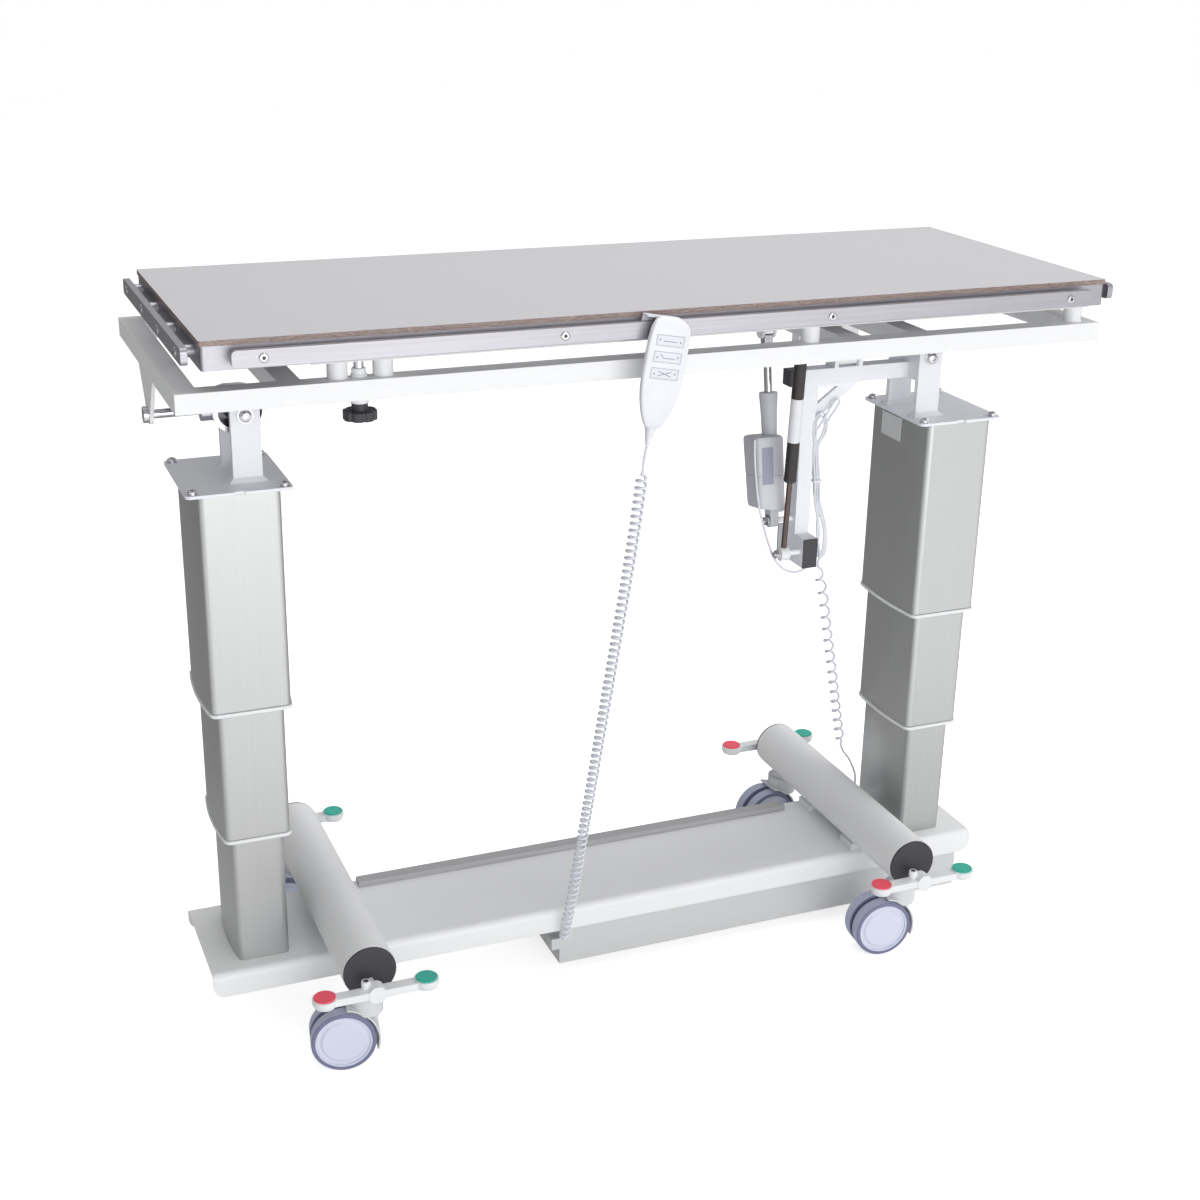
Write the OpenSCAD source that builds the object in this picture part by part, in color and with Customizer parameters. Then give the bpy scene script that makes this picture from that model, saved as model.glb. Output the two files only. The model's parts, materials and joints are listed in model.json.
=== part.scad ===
// Operating table with two telescopic columns, a tilting top and four castors.
// X runs along the table, Y across it, Z up. Origin: floor, middle of the whole table.

/* [Table top] */
// Length of the laminate board
top_l = 1500; // [1200:10:1800]
// Width of the laminate board
top_w = 550; // [480:10:640]
// Thickness of the laminate board
board_t = 8; // [5:0.5:14]
// Height of the board's upper face above the floor
table_h = 1240; // [1220:5:1300]
// Distance from the middle of the base to the middle of the board
top_offset = 31; // [0:1:60]
// Depth of the folded tray under the board
tray_h = 35; // [28:1:45]
// Sheet thickness of the tray
tray_t = 1.5; // [1:0.25:3]
// How far the tray's sides stand back from the board's edge
tray_inset = 1.5; // [0.5:0.5:6]
// Radius of the tray's vertical corners
tray_r = 5; // [2:0.5:12]

/* [Accessory rails] */
// Height of the rail's section
rail_h = 25; // [20:1:32]
// Thickness of the rail's section
rail_t = 10; // [8:0.5:12]
// Length of the front and rear rails
rail_long = 1421; // [1000:1:1440]
// Length of the two end rails
rail_short = 530; // [300:5:540]
// Clear space between the board's edge and the rail
rail_gap = 14; // [8:1:20]
// Distance from the board's upper face down to the rail's upper edge
rail_drop = 11; // [9:0.5:20]
// Diameter of the round spacers behind the rails
spacer_d = 18; // [12:1:24]
// Distance between the spacers of a long rail
spacer_pitch = 444; // [300:1:460]

/* [Under frame] */
// Length of the rectangular under frame
frame_l = 1540; // [1300:5:1700]
// Width of the under frame
frame_w = 530; // [440:5:600]
// Height of the frame tube
frame_tube_h = 30; // [20:1:50]
// Width of the frame tube
frame_tube_w = 34; // [24:1:50]
// Wall thickness of the frame tube
frame_wall = 2.5; // [1.5:0.5:4]
// Distance from the middle of the base to the middle of the frame
frame_offset = 15; // [0:1:40]
// Distance from the board's upper face to the frame's upper face
frame_drop = 74.5; // [70:0.5:80]
// Diameter of the round standoffs on the frame
standoff_d = 30; // [20:1:34]
// Width of the slide strips that the top rests on
strip_w = 40; // [36:1:44]
// Thickness of the slide strips
strip_t = 5; // [3:0.5:8]

/* [Tilt joints] */
// Distance from the board's upper face down to the tilt axes
pivot_drop = 170; // [165:1:175]
// Distance from a column's middle to its tilt bolt, left side
left_pivot_offset = 23; // [10:1:40]
// Distance from a column's middle to its tilt bolt, right side
right_pivot_offset = 43; // [20:1:50]
// Diameter of the cross tilt bolts
bolt_d = 16; // [10:1:20]
// Diameter of the side tilt pins
pin_d = 14; // [10:1:20]
// Clear width between the two posts of a column
post_gap = 84; // [70:1:110]
// Width of a post along the table
post_w = 46; // [36:1:54]
// Thickness of a post
post_t = 10; // [6:1:20]
// Radial clearance of a shaft in its bore
fit = 0.06; // [0.02:0.01:0.1]

/* [Columns] */
// Distance between the middles of the two columns
column_pitch = 1282; // [1200:2:1320]
// Section of the outer stage along the table
stage1_x = 140; // [130:1:160]
// Section of the outer stage across the table
stage1_y = 196; // [190:1:206]
// Length of the outer stage
stage1_l = 360; // [340:1:364]
// Section of the middle stage along the table
stage2_x = 119; // [114:1:122]
// Section of the middle stage across the table
stage2_y = 182; // [178:1:184]
// Visible length of the middle stage
stage2_show = 231; // [227:1:240]
// Section of the inner stage along the table
stage3_x = 98; // [90:1:102]
// Section of the inner stage across the table
stage3_y = 168; // [150:1:170]
// Overlap of two neighbouring stages when the column is out
stage_overlap = 120; // [80:1:130]
// Wall thickness of a stage
stage_wall = 3; // [2:0.5:4]
// Bow of the stage faces that look along the table
stage_bow = 6; // [0:0.5:8]
// Corner radius of a stage
stage_r = 10; // [6:0.5:14]
// Height of the plastic rim at a stage's lower end
rim_h = 9; // [5:0.5:14]
// How far a rim stands out from its stage
rim_out = 2.5; // [1:0.25:4]
// Clear gap between a rim and the stage inside it
rim_gap = 0.6; // [0.4:0.1:1.2]
// Size of a column's top plate along the table
plate_x = 165; // [150:1:180]
// Size of a column's top plate across the table
plate_y = 204; // [200:1:220]
// Thickness of a column's top plate
plate_t = 5; // [3:0.5:8]

/* [Base] */
// Length of the folded base sheet
base_l = 1470; // [1380:5:1500]
// Width of the base sheet
base_w = 236; // [225:1:260]
// Depth of the folded skirt
skirt_h = 42; // [30:1:50]
// Sheet thickness of the base
base_t = 3; // [2:0.5:5]
// Radius of the fold between deck and skirt
fold_r = 12; // [6:1:16]
// Radius of the skirt's lower corners
skirt_corner_r = 20; // [5:1:30]
// Distance between the two cross tubes
tube_pitch = 1015; // [960:5:1040]
// Outer diameter of a cross tube
tube_d = 88.9; // [80:0.1:95]
// Length of a cross tube
tube_l = 532; // [500:2:560]
// Wall thickness of a cross tube
tube_wall = 3; // [2:0.5:5]
// Height of the saddles between the base and the tubes
saddle_h = 6.5; // [4:0.5:12]
// Length of the control box under the base
box_l = 826; // [600:2:840]
// Height of the control box
box_h = 100; // [80:1:102]

/* [Castors] */
// Diameter of a castor wheel
wheel_d = 108; // [96:1:112]
// Width of one of the two wheels of a castor
wheel_w = 23; // [18:0.5:28]
// Distance from the swivel axis to the wheel axle
trail = 40; // [32:1:46]
// Distance of the swivel axis from the tube's end
swivel_in = 30; // [28:1:40]
// Height of the tube's underside above the floor
castor_h = 143.5; // [140:0.5:150]
// Length of a brake pedal between its two pads
pedal_l = 168; // [140:2:190]
// Diameter of a pedal pad
pad_d = 40; // [30:1:44]

/* [Hand control] */
// Width of the hand control at its upper end
hand_w = 66; // [50:1:76]
// Length of the hand control's housing
hand_l = 168; // [140:1:190]
// Thickness of the hand control's housing
hand_t = 24; // [20:1:28]

/* [Hidden] */
$fn = 64;

// Overrun of every cut past the face that it leaves
over = 1;
// Clear space between faces that only pass each other
slip = 0.3;

// Reach of the whole table to both sides, and the base's middle that centres it
screw_head_h = 2;
rail_face = top_offset + top_l / 2 + rail_gap + rail_t + screw_head_h;
pin_head_h = 8;
frame_face = frame_l / 2 - frame_offset + pin_head_h;
base_cx = (frame_face - rail_face) / 2;

// Heights worked out from the driving dimensions
tray_top = table_h - board_t;
tray_bottom = tray_top - tray_h;
frame_top = table_h - frame_drop;
frame_bottom = frame_top - frame_tube_h;
pivot_z = table_h - pivot_drop;
tube_z = castor_h + tube_d / 2;
deck_z = castor_h - saddle_h;
skirt_z = deck_z - skirt_h;
strip_gap = 1;
strip_top = tray_bottom - strip_gap;
strip_bottom = strip_top - strip_t;

// Places along the table
top_cx = base_cx + top_offset;
frame_cx = base_cx + frame_offset;
frame_left = frame_cx - frame_l / 2;
left_cx = base_cx - column_pitch / 2;
right_cx = base_cx + column_pitch / 2;
left_px = left_cx + left_pivot_offset;
right_px = right_cx - right_pivot_offset;

// Column heights
plate_drop = 275;
plate_top = table_h - plate_drop;
stage1_top = plate_top - plate_t;
stage1_bottom = stage1_top - stage1_l;
stage2_bottom = stage1_bottom - stage2_show;
stage2_top = stage1_bottom + stage_overlap;
stage3_top = stage2_bottom + stage_overlap;

// Rectangle with round corners, exact arcs
module round_rect(w, d, r) {
  square([w - 2 * r, d], center = true);
  square([w, d - 2 * r], center = true);
  for (sx = [-1, 1], sy = [-1, 1])
    translate([sx * (w / 2 - r), sy * (d / 2 - r)]) circle(r);
}

// Outline of a stage: flat long faces, bowed short faces, round corners
module stage_outline(w, d, r, bow) {
  half = d / 2 - r;
  bow_r = (half * half + bow * bow) / (2 * bow);
  round_rect(w - 2 * bow, d, r);
  intersection() {
    translate([w / 2 - bow_r, 0]) circle(bow_r, $fn = 180);
    translate([bow_r - w / 2, 0]) circle(bow_r, $fn = 180);
    square([w, 2 * half], center = true);
  }
}

module stage_solid(w, d, grow) {
  stage_outline(w + 2 * grow, d + 2 * grow, stage_r + grow, stage_bow);
}

// One telescopic stage as an open tube
module stage_tube(w, d, low, high) {
  translate([0, 0, low]) linear_extrude(high - low) difference() {
    stage_solid(w, d, 0);
    stage_solid(w, d, -stage_wall);
  }
}

// Plastic rim under a stage: an outer band with a lip that closes the gap to the next stage
rim_sleeve = 3;
module stage_rim(w, d, inner_w, inner_d, low, gap) {
  translate([0, 0, low - rim_h + rim_sleeve]) linear_extrude(rim_h - rim_sleeve - slip) difference() {
    stage_solid(w, d, rim_out);
    stage_solid(inner_w, inner_d, gap);
  }
}

// Gap under the left outer stage also takes up the sway of the opened tilt linkage
left_sway_gap = 2.8;

module left_stage_3() color("gainsboro")
  translate([left_cx, 0]) stage_tube(stage3_x, stage3_y, deck_z, stage3_top);
module right_stage_3() color("gainsboro")
  translate([right_cx, 0]) stage_tube(stage3_x, stage3_y, deck_z, stage3_top);
module left_stage_2() color("silver")
  translate([left_cx, 0]) stage_tube(stage2_x, stage2_y, stage2_bottom, stage2_top);
module right_stage_2() color("silver")
  translate([right_cx, 0]) stage_tube(stage2_x, stage2_y, stage2_bottom, stage2_top);
module left_rim_2() color("white") translate([left_cx, 0])
  stage_rim(stage2_x, stage2_y, stage3_x, stage3_y, stage2_bottom, rim_gap);
module right_rim_2() color("white") translate([right_cx, 0])
  stage_rim(stage2_x, stage2_y, stage3_x, stage3_y, stage2_bottom, rim_gap);
module left_stage_1() color("gainsboro")
  translate([left_cx, 0]) stage_tube(stage1_x, stage1_y, stage1_bottom, stage1_top);
module right_stage_1() color("gainsboro")
  translate([right_cx, 0]) stage_tube(stage1_x, stage1_y, stage1_bottom, stage1_top);
module left_rim_1() color("white") translate([left_cx, 0])
  stage_rim(stage1_x, stage1_y, stage2_x, stage2_y, stage1_bottom, left_sway_gap);
module right_rim_1() color("white") translate([right_cx, 0])
  stage_rim(stage1_x, stage1_y, stage2_x, stage2_y, stage1_bottom, rim_gap);

// Head of a column: top plate with two posts, welds, screws and the wire slot
plate_r = 9;
post_rise = 24;
weld_leg = 7;
head_screw_d = 13;
head_screw_h = 6;
head_screw_in = 12;
wire_slot_l = 16;
wire_slot_w = 4;
module weld_foot(w, t) {
  hull() {
    translate([-w / 2 - weld_leg, -t / 2 - weld_leg, 0]) cube([w + 2 * weld_leg, t + 2 * weld_leg, over]);
    translate([-w / 2, -t / 2, 0]) cube([w, t, weld_leg]);
  }
}
module column_head(cx, px) {
  difference() {
    union() {
      translate([cx, 0, plate_top - plate_t]) linear_extrude(plate_t) round_rect(plate_x, plate_y, plate_r);
      for (side = [-1, 1]) translate([px, side * (post_gap + post_t) / 2, plate_top]) {
        translate([-post_w / 2, -post_t / 2, -over])
          cube([post_w, post_t, pivot_z + post_rise - plate_top + over]);
        weld_foot(post_w, post_t);
      }
      for (sx = [-1, 1], sy = [-1, 1])
        translate([cx + sx * (plate_x / 2 - head_screw_in), sy * (plate_y / 2 - head_screw_in), plate_top - over])
          cylinder(d = head_screw_d, h = head_screw_h + over);
    }
    translate([px, 0, pivot_z]) rotate([90, 0])
      cylinder(d = bolt_d + 2 * fit, h = post_gap + 2 * post_t + 2 * over, center = true);
    translate([cx - wire_slot_l / 2, -plate_y / 2 - over, plate_top - plate_t - over])
      cube([wire_slot_l, wire_slot_w + over, plate_t + 2 * over]);
  }
}
module left_head() color("whitesmoke") column_head(left_cx, left_px);
module right_head() color("whitesmoke") column_head(right_cx, right_px);

// Tilt bolts with hexagon head, nut and washers, and spacer tubes up to the piece between the posts
bolt_head_d = 26;
bolt_head_h = 9;
washer_d = 28;
washer_t = 2;
module tilt_bolt() {
  half = post_gap / 2 + post_t;
  rotate([90, 0]) {
    cylinder(d = bolt_d, h = 2 * half + 2 * bolt_head_h, center = true);
    for (side = [0, 1]) mirror([0, 0, side]) {
      translate([0, 0, half + slip]) cylinder(d = washer_d, h = washer_t);
      translate([0, 0, half + slip + washer_t]) cylinder(d = bolt_head_d, h = bolt_head_h, $fn = 6);
    }
  }
}
module left_pivot_bolt() color("silver") translate([left_px, 0, pivot_z]) tilt_bolt();
module right_pivot_bolt() color("silver") translate([right_px, 0, pivot_z]) tilt_bolt();

// Slotted link at the left end: a stadium ring on the side tilt pin
link_w = 60;
link_h = 64;
link_wall = 8;
link_straight = 20;
link_shift = -3;
link_boss_d = 34;
link_slot_h = link_h - 2 * link_wall;
pin_boss_l = 14;
module stadium(h, straight) {
  square([straight, h], center = true);
  for (sx = [-1, 1]) translate([sx * straight / 2, 0]) circle(h / 2);
}
module left_slot_link() color("silver") {
  link_left = left_px + link_shift - (link_straight + link_h) / 2;
  translate([left_px + link_shift, 0, pivot_z]) rotate([90, 0])
    linear_extrude(link_w, center = true) difference() {
      stadium(link_h, link_straight);
      stadium(link_slot_h, link_straight);
    }
  translate([link_left + link_wall / 2, 0, pivot_z]) rotate([0, -90])
    cylinder(d = link_boss_d, h = link_wall / 2 + pin_boss_l);
  translate([link_left, 0, pivot_z]) rotate([0, -90])
    cylinder(d = pin_d, h = link_left - frame_left + pin_head_h);
  translate([frame_left - slip, 0, pivot_z]) rotate([0, -90])
    cylinder(d = bolt_head_d, h = pin_head_h - slip, $fn = 48);
}

// Plastic block that slides in the link and turns on the left bolt
module slide_block() color("dimgray") translate([left_px, 0, pivot_z]) rotate([90, 0])
  linear_extrude(post_gap - 2 * slip, center = true) difference() {
    circle(link_slot_h / 2 - slip);
    circle(d = bolt_d + 2 * fit);
  }

// Right tilt arm: block on the bolt, horizontal arm with two pin lugs, gusset, long vertical arm
block_w = post_gap - 2 * slip;
block_x = 44;
block_low = 42;
block_high = 18;
arm_w = 28;
arm_drop = 42;
arm_out = 218;
arm_reach = 316;
arm_x = right_px - arm_out;
arm_low = pivot_z - arm_reach;
lug_in = 145;
lug_gap = 40;
lug_t = 8;
lug_w = 34;
knuckle_d = 26;
gusset_t = 8;
gusset_x = 92;
gusset_z = 70;
window_share = 0.42;
foot_h = 54;
foot_w = 96;
foot_wall = 3;
module right_tilt_arm() color("white") {
  arm_top = pivot_z - arm_drop + arm_w;
  difference() {
    translate([right_px - block_x / 2, -block_w / 2, pivot_z - block_low])
      cube([block_x, block_w, block_low + block_high]);
    translate([right_px, 0, pivot_z]) rotate([90, 0])
      cylinder(d = bolt_d + 2 * fit, h = block_w + 2 * over, center = true);
  }
  translate([arm_x - arm_w / 2, -arm_w / 2, pivot_z - arm_drop])
    cube([right_px - arm_x + arm_w / 2 - block_x / 2 + over, arm_w, arm_w]);
  translate([arm_x - arm_w / 2, -arm_w / 2, arm_low]) cube([arm_w, arm_w, arm_top - arm_low]);
  // Gusset with its window
  translate([arm_x + arm_w / 2, 0, pivot_z - arm_drop]) rotate([90, 0])
    linear_extrude(gusset_t, center = true) difference() {
      polygon([[-over, over], [gusset_x, over], [gusset_x, 0], [0, -gusset_z], [-over, -gusset_z]]);
      translate([gusset_t, -gusset_t]) polygon([[0, 0], [gusset_x * window_share, 0],
        [gusset_x * window_share, -over], [0, -gusset_z * window_share]]);
    }
  // Foot tube across the lower end of the arm
  translate([arm_x - arm_w / 2, -foot_w / 2, arm_low - foot_h + over]) difference() {
    cube([arm_w, foot_w, foot_h]);
    translate([foot_wall, -over, foot_wall])
      cube([arm_w - 2 * foot_wall, foot_w + 2 * over, foot_h - 2 * foot_wall]);
  }
  // Lugs and side tilt pin
  for (side = [-1, 1]) translate([right_px - lug_in + side * (lug_gap + lug_t) / 2, 0, pivot_z])
    rotate([0, 90]) {
      cylinder(d = lug_w, h = lug_t, center = true);
      translate([0, -lug_w / 2, -lug_t / 2]) cube([pivot_z - arm_top + over, lug_w, lug_t]);
    }
  translate([right_px - lug_in, 0, pivot_z]) rotate([0, 90])
    cylinder(d = pin_d, h = lug_gap + 2 * lug_t + 2 * over, center = true);
  // Pins that carry the actuator and the gas spring
  for (p = [[act_x, act_y, act_low_z], [gas_x, gas_y, gas_low_z]]) {
    link_reach = arm_x - arm_w / 2 - p[0] + eye_w / 2 + slip;
    translate([arm_x - arm_w / 2 + over, p[1], p[2]]) rotate([0, -90]) {
      cylinder(d = link_pin_d, h = over + link_reach);
      translate([0, 0, over + link_reach]) cylinder(d = link_pin_d + 2 * washer_t, h = washer_t);
    }
  }
}
module arm_end_caps() color("dimgray")
  for (side = [-1, 1]) translate([arm_x, side * (foot_w + cap_t) / 2, arm_low - foot_h / 2 + over])
    cube([arm_w, cap_t - 2 * slip, foot_h], center = true);
cap_t = 3;

// Actuator and gas spring: lower pins on the arm, upper pins on the frame
link_pin_d = 10;
link_top_rise = 44;
act_out = 40;
act_low_drop = 289;
act_x = arm_x - arm_w / 2 - act_out;
act_y = 0;
act_low_z = pivot_z - act_low_drop;
act_top_y = 58;
act_top_z = pivot_z + link_top_rise;
gas_out = 33;
gas_low_drop = 341;
gas_x = arm_x - arm_w / 2 - gas_out;
gas_y = -36;
gas_low_z = pivot_z - gas_low_drop;
gas_top_y = -62;
gas_top_z = pivot_z + link_top_rise;
eye_d = 24;
eye_w = 16;
open_fit = 1.8;
motor_x = 56;
motor_y = 58;
motor_r = 9;
motor_h = 138;
motor_low = 17;
body_d = 30;
body_h = 228;
rod_d = 14;
cyl_d = 22;
gas_rod_d = 10;
gas_cyl_h = 220;
neck_l = 26;
gas_neck_d = 14;

// Places a piece along the line from a lower pin to an upper pin
function lean(y0, z0, y1, z1) = atan2(y0 - y1, z1 - z0);
function reach(y0, z0, y1, z1) = norm([y1 - y0, z1 - z0]);
act_lean = lean(act_y, act_low_z, act_top_y, act_top_z);
act_l = reach(act_y, act_low_z, act_top_y, act_top_z);
gas_lean = lean(gas_y, gas_low_z, gas_top_y, gas_top_z);
gas_l = reach(gas_y, gas_low_z, gas_top_y, gas_top_z);
module on_actuator() translate([act_x, act_y, act_low_z]) rotate([act_lean, 0]) children();
module on_gas_spring() translate([gas_x, gas_y, gas_low_z]) rotate([gas_lean, 0]) children();

module link_eye(bore) {
  rotate([0, 90]) difference() {
    cylinder(d = eye_d, h = eye_w, center = true);
    cylinder(d = bore, h = eye_w + 2 * over, center = true);
  }
}
module actuator_housing() color("lightgray") on_actuator() {
  difference() {
    union() {
      rotate([0, 90]) cylinder(d = eye_d, h = eye_w, center = true);
      translate([-eye_w / 2, -eye_d / 2, 0]) cube([eye_w, eye_d, motor_low + over]);
      translate([(body_d - motor_x) / 2, 0, motor_low]) linear_extrude(motor_h)
        round_rect(motor_x, motor_y, motor_r);
      translate([0, 0, motor_low + motor_h - over]) cylinder(d = body_d, h = body_h - motor_low - motor_h + over);
    }
    rotate([0, 90]) cylinder(d = link_pin_d + 2 * fit, h = eye_w + 2 * over, center = true);
    translate([0, 0, motor_low + motor_h / 4]) cylinder(d = rod_d + 2 * fit, h = body_h);
  }
}
module actuator_rod() color("silver") on_actuator() {
  difference() {
    union() {
      translate([0, 0, motor_low + motor_h / 2]) cylinder(d = rod_d, h = act_l - motor_low - motor_h / 2 - neck_l);
      translate([-eye_w / 2, -eye_w / 2, act_l - neck_l - over]) cube([eye_w, eye_w, neck_l]);
      translate([0, 0, act_l]) rotate([0, 90]) cylinder(d = eye_d, h = eye_w, center = true);
    }
    translate([0, 0, act_l]) rotate([0, 90])
      cylinder(d = link_pin_d + 2 * open_fit, h = eye_w + 2 * over, center = true);
  }
}
module gas_spring_rod() color("dimgray") on_gas_spring() {
  link_eye(link_pin_d + 2 * fit);
  translate([0, 0, eye_d / 2 - over]) cylinder(d = gas_rod_d, h = gas_l - gas_cyl_h / 2 - eye_d / 2);
}
module gas_spring_cylinder() color("dimgray") on_gas_spring() {
  difference() {
    union() {
      translate([0, 0, gas_l - gas_cyl_h - neck_l]) cylinder(d = cyl_d, h = gas_cyl_h);
      translate([0, 0, gas_l - neck_l - over]) cylinder(d = gas_neck_d, h = neck_l);
      translate([0, 0, gas_l]) rotate([0, 90]) cylinder(d = eye_d, h = eye_w, center = true);
    }
    translate([0, 0, gas_l - gas_cyl_h - neck_l - over])
      cylinder(d = gas_rod_d + 2 * fit, h = gas_cyl_h + over - eye_d / 2);
    translate([0, 0, gas_l]) rotate([0, 90])
      cylinder(d = link_pin_d + 2 * open_fit, h = eye_w + 2 * over, center = true);
  }
}

// Under frame: four outer tubes, three cross tubes, brackets, lugs, standoffs and slide strips
end_plate_t = 6;
end_plate_w = 130;
end_plate_tip = 30;
cross_1_in = 30;
cross_1 = left_px + cross_1_in;
cross_2 = right_px - lug_in;
cross_3 = (act_x + gas_x) / 2;
standoff_in = 25;
standoff_y = frame_w / 2 - standoff_in;
strip_l = 1324;
strip_in = 28;
strip_y = frame_w / 2 - strip_in;
standoffs = [-549.7, -482, 217, 716];
knob_x = -518;
clevis_gap = eye_w + 1;
clevis_t = 5;
clevis_w = 26;
cross_tubes_x = [cross_1, cross_2, cross_3];
module frame_ring(wall) {
  translate([frame_cx, 0, frame_bottom + wall]) linear_extrude(frame_tube_h - 2 * wall) difference() {
    square([frame_l - 2 * wall, frame_w - 2 * wall], center = true);
    square([frame_l - 2 * frame_tube_w + 2 * wall, frame_w - 2 * frame_tube_w + 2 * wall], center = true);
  }
}
module cross_member(x, wall) {
  reach_y = frame_w - frame_tube_w;
  translate([x, 0, frame_bottom + frame_tube_h / 2])
    cube([frame_tube_w - 2 * wall, reach_y, frame_tube_h - 2 * wall], center = true);
}
module frame_clevis(x, y, z) {
  for (side = [-1, 1]) translate([x + side * (clevis_gap + clevis_t) / 2, y, z]) rotate([0, 90]) {
    cylinder(d = clevis_w, h = clevis_t, center = true);
    translate([-(frame_bottom - z + over), -clevis_w / 2, -clevis_t / 2])
      cube([frame_bottom - z + over, clevis_w, clevis_t]);
  }
  translate([x, y, z]) rotate([0, 90])
    cylinder(d = link_pin_d, h = clevis_gap + 2 * clevis_t + 2 * washer_t, center = true);
}
module under_frame() color("white") {
  difference() {
    union() {
      frame_ring(0);
      for (x = cross_tubes_x) cross_member(x, 0);
      for (x = standoffs, side = [-1, 1]) translate([top_cx + x, side * standoff_y, frame_top - over])
        cylinder(d = standoff_d, h = strip_bottom - frame_top + 2 * over);
      for (side = [-1, 1]) translate([top_cx + standoffs[0] - strip_w, side * strip_y - strip_w / 2, strip_bottom])
        cube([strip_l, strip_w, strip_t]);
    }
    // Hollow inside of the welded tubes
    frame_ring(frame_wall);
    for (x = cross_tubes_x) cross_member(x, frame_wall);
    // Bore of the clamp screw through the tube and the strip
    translate([top_cx + knob_x, -standoff_y, frame_bottom - over])
      cylinder(d = knob_stem_d + 2 * fit, h = strip_top - frame_bottom + 2 * over);
  }
  // End bracket with the left pin bore
  translate([frame_left + end_plate_t, 0, 0]) rotate([90, 0, -90]) linear_extrude(end_plate_t) difference() {
    union() {
      polygon([[-end_plate_w / 2, frame_bottom + over], [end_plate_w / 2, frame_bottom + over],
        [end_plate_tip / 2, pivot_z], [-end_plate_tip / 2, pivot_z]]);
      translate([0, pivot_z]) circle(d = end_plate_tip);
    }
    translate([0, pivot_z]) circle(d = pin_d + 2 * fit);
  }
  // Hinge knuckle on the right pin
  difference() {
    union() {
      translate([cross_2, 0, pivot_z]) rotate([0, 90])
        cylinder(d = knuckle_d, h = lug_gap - 2 * slip, center = true);
      translate([cross_2 - frame_tube_w / 2, -knuckle_d / 2, pivot_z])
        cube([frame_tube_w, knuckle_d, frame_bottom - pivot_z + over]);
    }
    translate([cross_2, 0, pivot_z]) rotate([0, 90])
      cylinder(d = pin_d + 2 * fit, h = lug_gap + 2 * over, center = true);
  }
  frame_clevis(act_x, act_top_y, act_top_z);
  frame_clevis(gas_x, gas_top_y, gas_top_z);
}

// Clamp knob: star grip, collar and screw up to the tray's runner
knob_stem_d = 12;
knob_d = 50;
knob_grip_h = 13;
knob_drop = 33;
knob_collar_d = 24;
knob_collar_gap = 2;
knob_lobes = 8;
lobe_d = 9;
module clamp_knob() color("dimgray") translate([top_cx + knob_x, -standoff_y, frame_bottom - knob_drop]) {
  difference() {
    cylinder(d = knob_d, h = knob_grip_h);
    for (i = [0 : knob_lobes - 1]) rotate(i * 360 / knob_lobes) translate([knob_d / 2 + lobe_d / 4, 0, -over])
      cylinder(d = lobe_d, h = knob_grip_h + 2 * over, $fn = 24);
  }
  cylinder(d = knob_collar_d, h = knob_drop - knob_collar_gap);
  cylinder(d = knob_stem_d, h = knob_drop + strip_top - frame_bottom);
}

// Table top: laminate board on a folded stainless tray with two runners and claws under the strips
board_r = 3;
module top_board() color("lightgray")
  translate([top_cx, 0, tray_top]) linear_extrude(board_t) round_rect(top_l, top_w, board_r);
runner_w = 36;
runner_wall = 2;
runner_h = tray_top - tray_t / 2 - strip_top - slip;
claw_t = 6;
claw_lip = 9;
claw_l = 40;
claws = [-150, 430];
module top_tray() color("silver") translate([top_cx, 0]) {
  tray_l = top_l - 2 * tray_inset;
  tray_w = top_w - 2 * tray_inset;
  difference() {
    translate([0, 0, tray_bottom]) linear_extrude(tray_h) round_rect(tray_l, tray_w, tray_r);
    translate([0, 0, tray_bottom - over]) linear_extrude(tray_h + over - tray_t)
      round_rect(tray_l - 2 * tray_t, tray_w - 2 * tray_t, tray_r - tray_t);
  }
  for (side = [-1, 1]) {
    difference() {
      translate([-strip_l / 2, side * strip_y - runner_w / 2, strip_top + slip]) cube([strip_l, runner_w, runner_h]);
      translate([-strip_l / 2 - over, side * strip_y - runner_w / 2 + runner_wall, strip_top + slip + runner_wall])
        cube([strip_l + 2 * over, runner_w - 2 * runner_wall, runner_h]);
    }
    for (x = claws) translate([x - claw_l / 2, side * strip_y, 0]) {
      claw_y = strip_w / 2 + slip;
      claw_y0 = side > 0 ? -claw_y - claw_t : claw_y;
      claw_low = strip_bottom - claw_t;
      translate([0, claw_y0, claw_low]) cube([claw_l, claw_t, tray_top - tray_t / 2 - claw_low]);
      lip_y0 = side > 0 ? -claw_y - claw_t : claw_y - claw_lip;
      translate([0, lip_y0, claw_low]) cube([claw_l, claw_t + claw_lip, claw_t - slip]);
    }
  }
}

// Accessory rails on round spacers along all four sides
rail_end_r = 7;
screw_head_d = 12;
short_pitch = 150;
rail_top = table_h - rail_drop;
rail_z = rail_top - rail_h / 2;
module rail_bar(l) {
  rotate([90, 0]) linear_extrude(rail_t, center = true) round_rect(l, rail_h, rail_end_r);
}
module rail_spacer(from) {
  rotate([90, 0]) translate([0, 0, -from]) cylinder(d = spacer_d, h = from - rail_t / 2 + over);
  rotate([90, 0]) translate([0, 0, rail_t / 2 - over]) cylinder(d = screw_head_d, h = screw_head_h + over);
}
module accessory_rails() color("silver") translate([top_cx, 0, rail_z]) {
  out = rail_gap + rail_t / 2;
  back = rail_t / 2 + rail_gap + tray_inset;
  for (turn = [0, 180]) rotate(turn) translate([0, -top_w / 2 - out, 0]) {
    rail_bar(rail_long);
    for (i = [-1.5 : 1 : 1.5]) translate([i * spacer_pitch, 0, 0]) rail_spacer(back);
  }
  for (turn = [90, 270]) rotate(turn) translate([0, -top_l / 2 - out, 0]) {
    rail_bar(rail_short);
    for (i = [-1.5 : 1 : 1.5]) translate([i * short_pitch, 0, 0]) rail_spacer(back);
  }
}

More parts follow.
